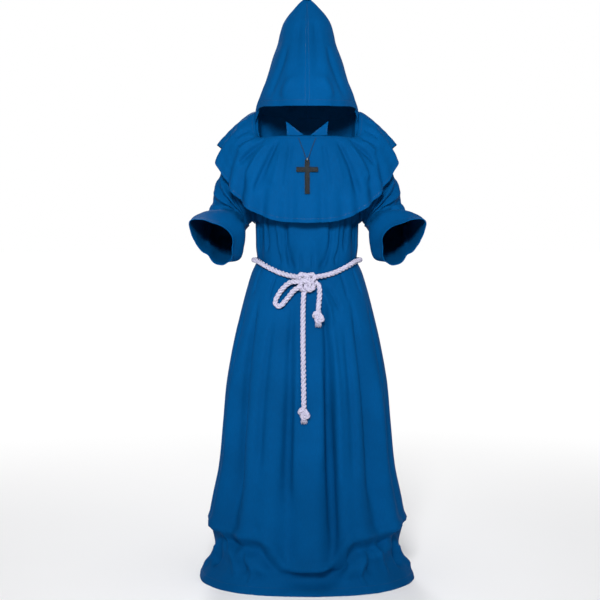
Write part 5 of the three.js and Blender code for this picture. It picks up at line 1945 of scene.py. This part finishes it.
class MONK_OT_cape(bpy.types.Operator):
    """Adds the shoulder cape's front and back with the folds that spread from its seam"""

    bl_idname = "monk.cape"
    bl_label = "Cape"

    def execute(self, context):
        return sew(self.add_panel, FACES, "cape_stitching")

    def add_panel(self, name, face, settings, stitches):
        angles = spaced(-90, 90, CAPE_STEPS["column"], clusters=(-90, 90), fine=EDGE_STEP)
        edge = 1 - np.array(CAPE_HEM_ROWS) / CAPE_FALL
        seam = np.array(CAPE_SEAM_ROWS) / CAPE_FALL
        middle = spaced(CAPE_STEPS["from"] / CAPE_FALL, edge[0], CAPE_STEPS["row"])[:-1]
        parts = np.concatenate((seam, middle, edge))
        angle, part = np.meshgrid(angles, parts)
        turn = angle if face > 0 else 180 - angle
        points = cape_surface(turn, part)
        creases = creases_on("cape", CAPE_CREASES, turn, part * CAPE_FALL, settings)
        ripple = ripple_on("cape", turn, part * CAPE_RIPPLE_FALL, settings)
        side_gap = 90 - np.abs(angle)
        calm = smoothstep(side_gap, 0, SEAM["cape"]["calm"])
        drawn_in = seam_line("cape", side_gap) * smoothstep(part, *SEAM_BEGINS)
        from_hem = (1 - part) * CAPE_FALL
        offset = (creases + ripple) * calm * smoothstep(part, *CAPE_SEAM_FADE)
        offset = offset - SEAM["cape"]["depth"] * drawn_in + stitch_line(from_hem, CAPE_HEM_DEPTH)
        thickness = hem_thickness(from_hem, settings.thickness, CAPE_HEM_DEPTH)

        def trim(cloth, outer):
            """Keeps the cloth on its own side of the seam."""
            cloth[..., 1] = face * np.minimum(face * cloth[..., 1], 0)
            return cloth

        points = trim(moved_out(points, offset, -face), None)
        piece = cloth_wall(f"cape_{name}_cloth", points, thickness, -face, trim=trim)
        finish_cloth(
            piece,
            f"cape_{name}",
            "blue_cloth",
        )
        normals = grid_normals(points, -face, False)
        hem_row = row_nearest(from_hem[:, 0], CAPE_HEM_DEPTH - STITCHES_IN)
        for row in (hem_row, CAPE_SEAM_ROWS.index(CAPE_TOP_STITCH)):
            stitches.add_line(points[row], normals[row])


class MONK_OT_collar(bpy.types.Operator):
    """Adds the two turned-out corners of the neck slit"""

    bl_idname = "monk.collar"
    bl_label = "Collar corners"

    def execute(self, context):
        return sew(self.add_corner, SIDES, "collar_stitching")

    def add_corner(self, name, side, settings, stitches):
        places = np.linspace(0, 1, FLAP_PLACES)
        across, up = np.meshgrid(places, places)
        points = flap_surface(side, across, up)
        reach = FLAP_RIPPLE["reach"]
        waves = soft_noise(across * reach, up * reach, FLAP_RIPPLE["size"], FLAP_RIPPLE["seed"])
        edge = np.minimum(across, 1 - across) * FLAP_WIDTH
        from_stitches = (edge - FLAP_STITCH["in"]) / FLAP_STITCH["reach"]
        offset = waves * FLAP_RIPPLE["height"] - FLAP_STITCH["depth"] * np.exp(-(from_stitches**2))
        points = moved_out(points, offset, side)
        thickness = np.full(points.shape[:2], settings.thickness * FLAP_THICKNESS)
        piece = cloth_wall(f"collar_corner_{name}", points, thickness, side)
        finish_cloth(
            piece,
            f"collar_flap_{name}",
            "blue_cloth",
        )
        normals = grid_normals(points, side, False)
        for column in (2, -3):
            stitches.add_line(points[2:-3, column], normals[2:-3, column])


class MONK_OT_belt(bpy.types.Operator):
    """Adds the twisted rope round the waist and its tied knot"""

    bl_idname = "monk.belt"
    bl_label = "Belt and knot"

    def execute(self, context):
        settings = rope_settings()
        line = self.waist_line(settings)
        belt = rope_object("rope_belt", [twisted_rope(line, settings.rope_diameter, settings.rope_lay)])
        hand_over(belt, "belt", "rope")
        turns = [rope_turn(turn, KNOT_CENTRE, settings) for turn in each_row(KNOT_TURNS)]
        knot = rope_object("rope_knot", turns)
        hand_over(knot, "belt_knot", "rope")
        return {"FINISHED"}

    def waist_line(self, settings):
        angle = np.linspace(BELT_FROM_KNOT, 360 - BELT_FROM_KNOT, BELT_POINTS)
        height = belt_height(angle)
        ahead = BELT_AHEAD["most"] * hump(angle, 0, BELT_AHEAD["within"])
        clear = settings.rope_diameter / 2 + BELT_CLEAR + ahead
        sizes = (BELT_RING["side"], BELT_RING["front"], BELT_RING["back"], ROBE_SQUARENESS, angle, height)
        points = robe_tube(angle, height) + on_ring(*sizes, clear) - on_ring(*sizes)
        return smooth_line(points, settings.rope_step)


class MONK_OT_rope_ends(bpy.types.Operator):
    """Adds the bow's loop, the two hanging ends and their frayed end knots"""

    bl_idname = "monk.rope_ends"
    bl_label = "Rope loop and ends"

    def execute(self, context):
        settings = rope_settings()
        self.add_rope("rope_bow_loop", "belt_loop", LOOP_ROUTE, settings)
        for name, route in (("long", LONG_ROUTE), ("short", SHORT_ROUTE)):
            tuft = self.add_tuft(name, route, settings)
            self.add_rope(f"rope_end_{name}", f"belt_end_{name}", route, settings, tuft)
        return {"FINISHED"}

    def add_rope(self, name, node, route, settings, tuft=None):
        points = [(side, -forward, height) for side, forward, height in route]
        line = smooth_line(points, settings.rope_step)
        piece = rope_object(name, [twisted_rope(line, settings.rope_diameter, settings.rope_lay)])
        hand_over(piece, node, "rope")

    def add_tuft(self, name, route, settings):
        side, forward, height = route[-1]
        centre = (side, -forward, height - END_KNOT_BELOW)
        parts = [rope_turn(turn, centre, settings) for turn in each_row(END_KNOT_TURNS)]
        parts += frayed_strands((side, -forward, height - END_KNOT_BELOW - TUFT["below"]))
        piece = rope_object(f"rope_tuft_{name}", parts)
        hand_over(piece, f"belt_tuft_{name}", "rope")
        return piece


class MONK_OT_pendant_cord(bpy.types.Operator):
    """Adds the thin cord that carries the cross"""

    bl_idname = "monk.pendant_cord"
    bl_label = "Pendant cord"

    def execute(self, context):
        settings = rope_settings()
        points = [(side, -forward, height) for side, forward, height in CORD_ROUTE]
        line = smooth_line(points, CORD_STEP)
        parts = [twisted_rope(line, settings.cord_diameter, settings.cord_lay, strands=2, sides=5)]
        piece = rope_object("neck_cord", parts)
        hand_over(piece, "pendant_cord", "dark_cord")
        return {"FINISHED"}


def ring_middle():
    """The middle of the pendant's ring, in metres."""
    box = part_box("pendant_ring")
    return (Vector(box[0]) + Vector(box[1])) / 2


class MONK_OT_pendant(bpy.types.Operator):
    """Adds the wire ring and the bevelled cross"""

    bl_idname = "monk.pendant"
    bl_label = "Cross pendant"

    def execute(self, context):
        self.add_ring()
        self.add_cross()
        return {"FINISHED"}

    def add_ring(self):
        """A jump ring: a wire section spun almost all the way round, with its two ends closed."""
        deselect_all()
        radius = RING["radius"] * MM
        bpy.ops.mesh.primitive_circle_add(
            vertices=RING_FACES["round"],
            radius=RING["wire"] * MM,
            location=(0, 0, -radius),
            rotation=(math.pi / 2, 0, 0),
        )
        ring = bpy.context.object
        ring.name = "jump_ring"
        bpy.ops.object.transform_apply(location=True, rotation=True, scale=True)
        bpy.ops.object.mode_set(mode="EDIT")
        bpy.ops.mesh.select_all(action="SELECT")
        turn = math.radians(RING_FACES["angle"])
        bpy.ops.mesh.spin(steps=RING_FACES["steps"], angle=turn, center=(0, 0, 0), axis=(1, 0, 0))
        bpy.ops.mesh.select_all(action="DESELECT")
        bpy.ops.object.mode_set(mode="OBJECT")
        face_outwards(ring, fill_holes=True)
        ring.data.transform(Matrix.Translation(ring_middle()))
        for face in ring.data.polygons:
            face.use_smooth = len(face.vertices) == 4
        hand_over(ring, "pendant_ring", "ring_metal", PENDANT_BODY)

    def add_cross(self):
        """A flat cross from one block: its arms are extruded, its face has a sunk border."""
        half = CROSS["bar"] / 2 * MM
        thick = CROSS["thickness"] * MM
        arm = (CROSS["width"] / 2) * MM - half
        foot = (CROSS["length"] - CROSS["bar_below_top"]) * MM - half
        head = CROSS["bar_below_top"] * MM - half
        deselect_all()
        bpy.ops.mesh.primitive_cube_add(size=1, location=(0, 0, 0), scale=(2 * half, thick, 2 * half))
        cross = bpy.context.object
        cross.name = "pendant_cross"
        bpy.ops.object.transform_apply(location=True, rotation=True, scale=True)
        for side in (1, -1):
            self.pull_face(cross, Vector((side, 0, 0)), arm)
        self.pull_middle_face(cross, 1, head, half)
        self.pull_middle_face(cross, -1, foot, half)
        self.sink_border(cross)
        self.cut_hole(cross, thick, head, half)
        bevel = cross.modifiers.new("worn_edges", "BEVEL")
        bevel.width = CROSS_EDGE["bevel"] * MM
        bevel.segments = CROSS_EDGE["segments"]
        bevel.limit_method = "ANGLE"
        bevel.angle_limit = math.radians(CROSS_EDGE["sharper"])
        bpy.ops.object.modifier_apply(modifier=bevel.name)
        bpy.ops.object.shade_smooth_by_angle(angle=math.radians(CROSS_EDGE["smooth"]))
        self.hang(cross, head, half)
        hand_over(cross, "cross", "cross_metal", PENDANT_BODY)

    def edit_faces(self, cross, direction):
        """Goes into edit mode with the faces selected that look in a direction."""
        bpy.ops.object.mode_set(mode="EDIT")
        bpy.ops.mesh.select_mode(type="FACE")
        bpy.ops.mesh.select_all(action="DESELECT")
        bpy.ops.object.mode_set(mode="OBJECT")
        for face in cross.data.polygons:
            face.select = face.normal.dot(direction) > 0.9
        bpy.ops.object.mode_set(mode="EDIT")

    def pull_face(self, cross, direction, reach):
        """Extrudes the face that looks in a direction and lies furthest out."""
        self.edit_faces(cross, direction)
        bpy.ops.mesh.extrude_region_move(TRANSFORM_OT_translate={"value": direction * reach})
        bpy.ops.object.mode_set(mode="OBJECT")

    def pull_middle_face(self, cross, side, reach, half):
        """Extrudes the top or the bottom of the middle block, between the two arms."""
        bpy.ops.object.mode_set(mode="EDIT")
        bpy.ops.mesh.select_all(action="DESELECT")
        bpy.ops.object.mode_set(mode="OBJECT")
        for face in cross.data.polygons:
            face.select = face.normal.z * side > 0.9 and abs(face.center.x) < half
        bpy.ops.object.mode_set(mode="EDIT")
        bpy.ops.mesh.extrude_region_move(TRANSFORM_OT_translate={"value": (0, 0, side * reach)})
        bpy.ops.object.mode_set(mode="OBJECT")

    def sink_border(self, cross):
        """Sinks a flat panel into the front and the back, inside a narrow raised border."""
        for side in (-1, 1):
            self.edit_faces(cross, Vector((0, side, 0)))
            bpy.ops.mesh.inset(thickness=CROSS_BORDER["width"] * MM, depth=0)
            bpy.ops.mesh.inset(thickness=CROSS_BORDER["slope"] * MM, depth=-CROSS_BORDER["depth"] * MM)
            bpy.ops.object.mode_set(mode="OBJECT")

    def cut_hole(self, cross, thick, head, half):
        """Drills the hole for the ring."""
        place = (0, 0, half + head - CROSS["hole_below_top"] * MM)
        bpy.ops.mesh.primitive_cylinder_add(
            vertices=CROSS_DRILL["sides"],
            radius=CROSS_HOLE_RADIUS * MM,
            depth=thick * CROSS_DRILL["depth"],
            location=place,
            rotation=(math.pi / 2, 0, 0),
        )
        drill = bpy.context.object
        cut = cross.modifiers.new("ring_hole", "BOOLEAN")
        cut.operation = "DIFFERENCE"
        cut.solver = "EXACT"
        cut.object = drill
        bpy.context.view_layer.objects.active = cross
        bpy.ops.object.modifier_apply(modifier=cut.name)
        bpy.data.objects.remove(drill, do_unlink=True)
        deselect_all()
        cross.select_set(True)
        bpy.context.view_layer.objects.active = cross

    def hang(self, cross, head, half):
        """Tilts the cross about its hole and hangs it where the frame has it."""
        hole = half + head - CROSS["hole_below_top"] * MM
        low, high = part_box("cross")
        tilt = math.radians(CROSS_TILT)
        turned = Matrix.Rotation(-tilt, 4, "X") @ Matrix.Translation((0, 0, -hole))
        cross.data.transform(turned)
        top = max(vertex.co.z for vertex in cross.data.vertices)
        back = max(vertex.co.y for vertex in cross.data.vertices)
        cross.data.transform(Matrix.Translation((0, high[1] - back, high[2] - top)))


class MONK_OT_stage(bpy.types.Operator):
    """Adds the pale floor, the soft lights and the camera"""

    bl_idname = "monk.stage"
    bl_label = "Studio"

    def execute(self, context):
        settings = context.scene.monk_stage
        self.add_floor()
        for name, light in LIGHTS.items():
            self.add_light(f"{name}_light", light, getattr(settings, name))
        context.scene.world = self.room(settings)
        context.scene.view_settings.view_transform = "Standard"
        self.add_camera(settings)
        return {"FINISHED"}

    def room(self, settings):
        """A room that is white all round near eye level and dims towards its ceiling."""
        world = bpy.data.worlds.new("studio")
        world.use_nodes = True
        nodes = world.node_tree.nodes
        links = world.node_tree.links
        direction = nodes.new("ShaderNodeTexCoord")
        parts = nodes.new("ShaderNodeSeparateXYZ")
        wall = nodes.new("ShaderNodeMapRange")
        wall.interpolation_type = "SMOOTHSTEP"
        for socket, value in (*WALLS.items(), ("To Min", 1.0), ("To Max", settings.sky)):
            wall.inputs[socket].default_value = value
        links.new(direction.outputs["Generated"], parts.inputs[0])
        links.new(parts.outputs["Z"], wall.inputs[0])
        links.new(wall.outputs[0], nodes["Background"].inputs["Color"])
        return world

    def add_floor(self):
        deselect_all()
        bpy.ops.mesh.primitive_plane_add(size=FLOOR_SIZE, location=(0, 0, FLOOR))
        floor = bpy.context.object
        floor.name = "studio_floor"
        dress(floor, "studio_floor")

    def add_light(self, name, light, power):
        area = bpy.data.lights.new(name, "AREA")
        area.size = light["size"]
        area.spread = math.radians(light["spread"])
        area.energy = power
        lamp = bpy.data.objects.new(name, area)
        lamp.location = light["place"]
        towards = Vector(light["target"]) - Vector(light["place"])
        lamp.rotation_euler = towards.to_track_quat("-Z", "Y").to_euler()
        bpy.context.scene.collection.objects.link(lamp)

    def add_camera(self, settings):
        camera = bpy.data.cameras.new("photo_view")
        camera.sensor_width = SENSOR_WIDTH
        camera.lens = settings.focal_pixels / FRAME_PIXELS * SENSOR_WIDTH
        camera.shift_y = -settings.horizon
        camera_object = bpy.data.objects.new("photo_view", camera)
        camera_object.location = (settings.side, -settings.camera_distance, FLOOR + settings.camera_height)
        camera_object.rotation_euler = (math.pi / 2, 0, 0)
        bpy.context.scene.collection.objects.link(camera_object)
        bpy.context.scene.camera = camera_object


class MONK_PT_panel(bpy.types.Panel):
    """Lists the costume's pieces and sizes"""

    bl_idname = "MONK_PT_panel"
    bl_label = "Monk costume"
    bl_space_type = "VIEW_3D"
    bl_region_type = "UI"
    bl_category = "Costume"

    def draw(self, context):
        layout = self.layout
        for operator in OPERATORS:
            layout.operator(operator.bl_idname)
        for group_name, group in SETTINGS.items():
            box = layout.box()
            for name in group.__annotations__:
                box.prop(getattr(context.scene, group_name), name)


OPERATORS = (
    MONK_OT_stage,
    MONK_OT_robe,
    MONK_OT_sleeves,
    MONK_OT_hood,
    MONK_OT_cape,
    MONK_OT_collar,
    MONK_OT_belt,
    MONK_OT_rope_ends,
    MONK_OT_pendant_cord,
    MONK_OT_pendant,
)
SETTINGS = {
    "monk_cloth": MonkClothSettings,
    "monk_rope": MonkRopeSettings,
    "monk_colours": MonkColourSettings,
    "monk_stage": MonkStageSettings,
}


def register():
    for group_name, group in SETTINGS.items():
        bpy.utils.register_class(group)
        setattr(bpy.types.Scene, group_name, bpy.props.PointerProperty(type=group))
    for item in (*OPERATORS, MONK_PT_panel):
        bpy.utils.register_class(item)


def unregister():
    for item in reversed((*OPERATORS, MONK_PT_panel)):
        bpy.utils.unregister_class(item)
    for group_name, group in reversed(SETTINGS.items()):
        delattr(bpy.types.Scene, group_name)
        bpy.utils.unregister_class(group)


def main():
    register()
    bpy.ops.monk.stage()
    bpy.ops.monk.robe()
    bpy.ops.monk.sleeves()
    bpy.ops.monk.hood()
    bpy.ops.monk.cape()
    bpy.ops.monk.collar()
    bpy.ops.monk.belt()
    bpy.ops.monk.rope_ends()
    bpy.ops.monk.pendant_cord()
    bpy.ops.monk.pendant()


if __name__ == "__main__":
    main()
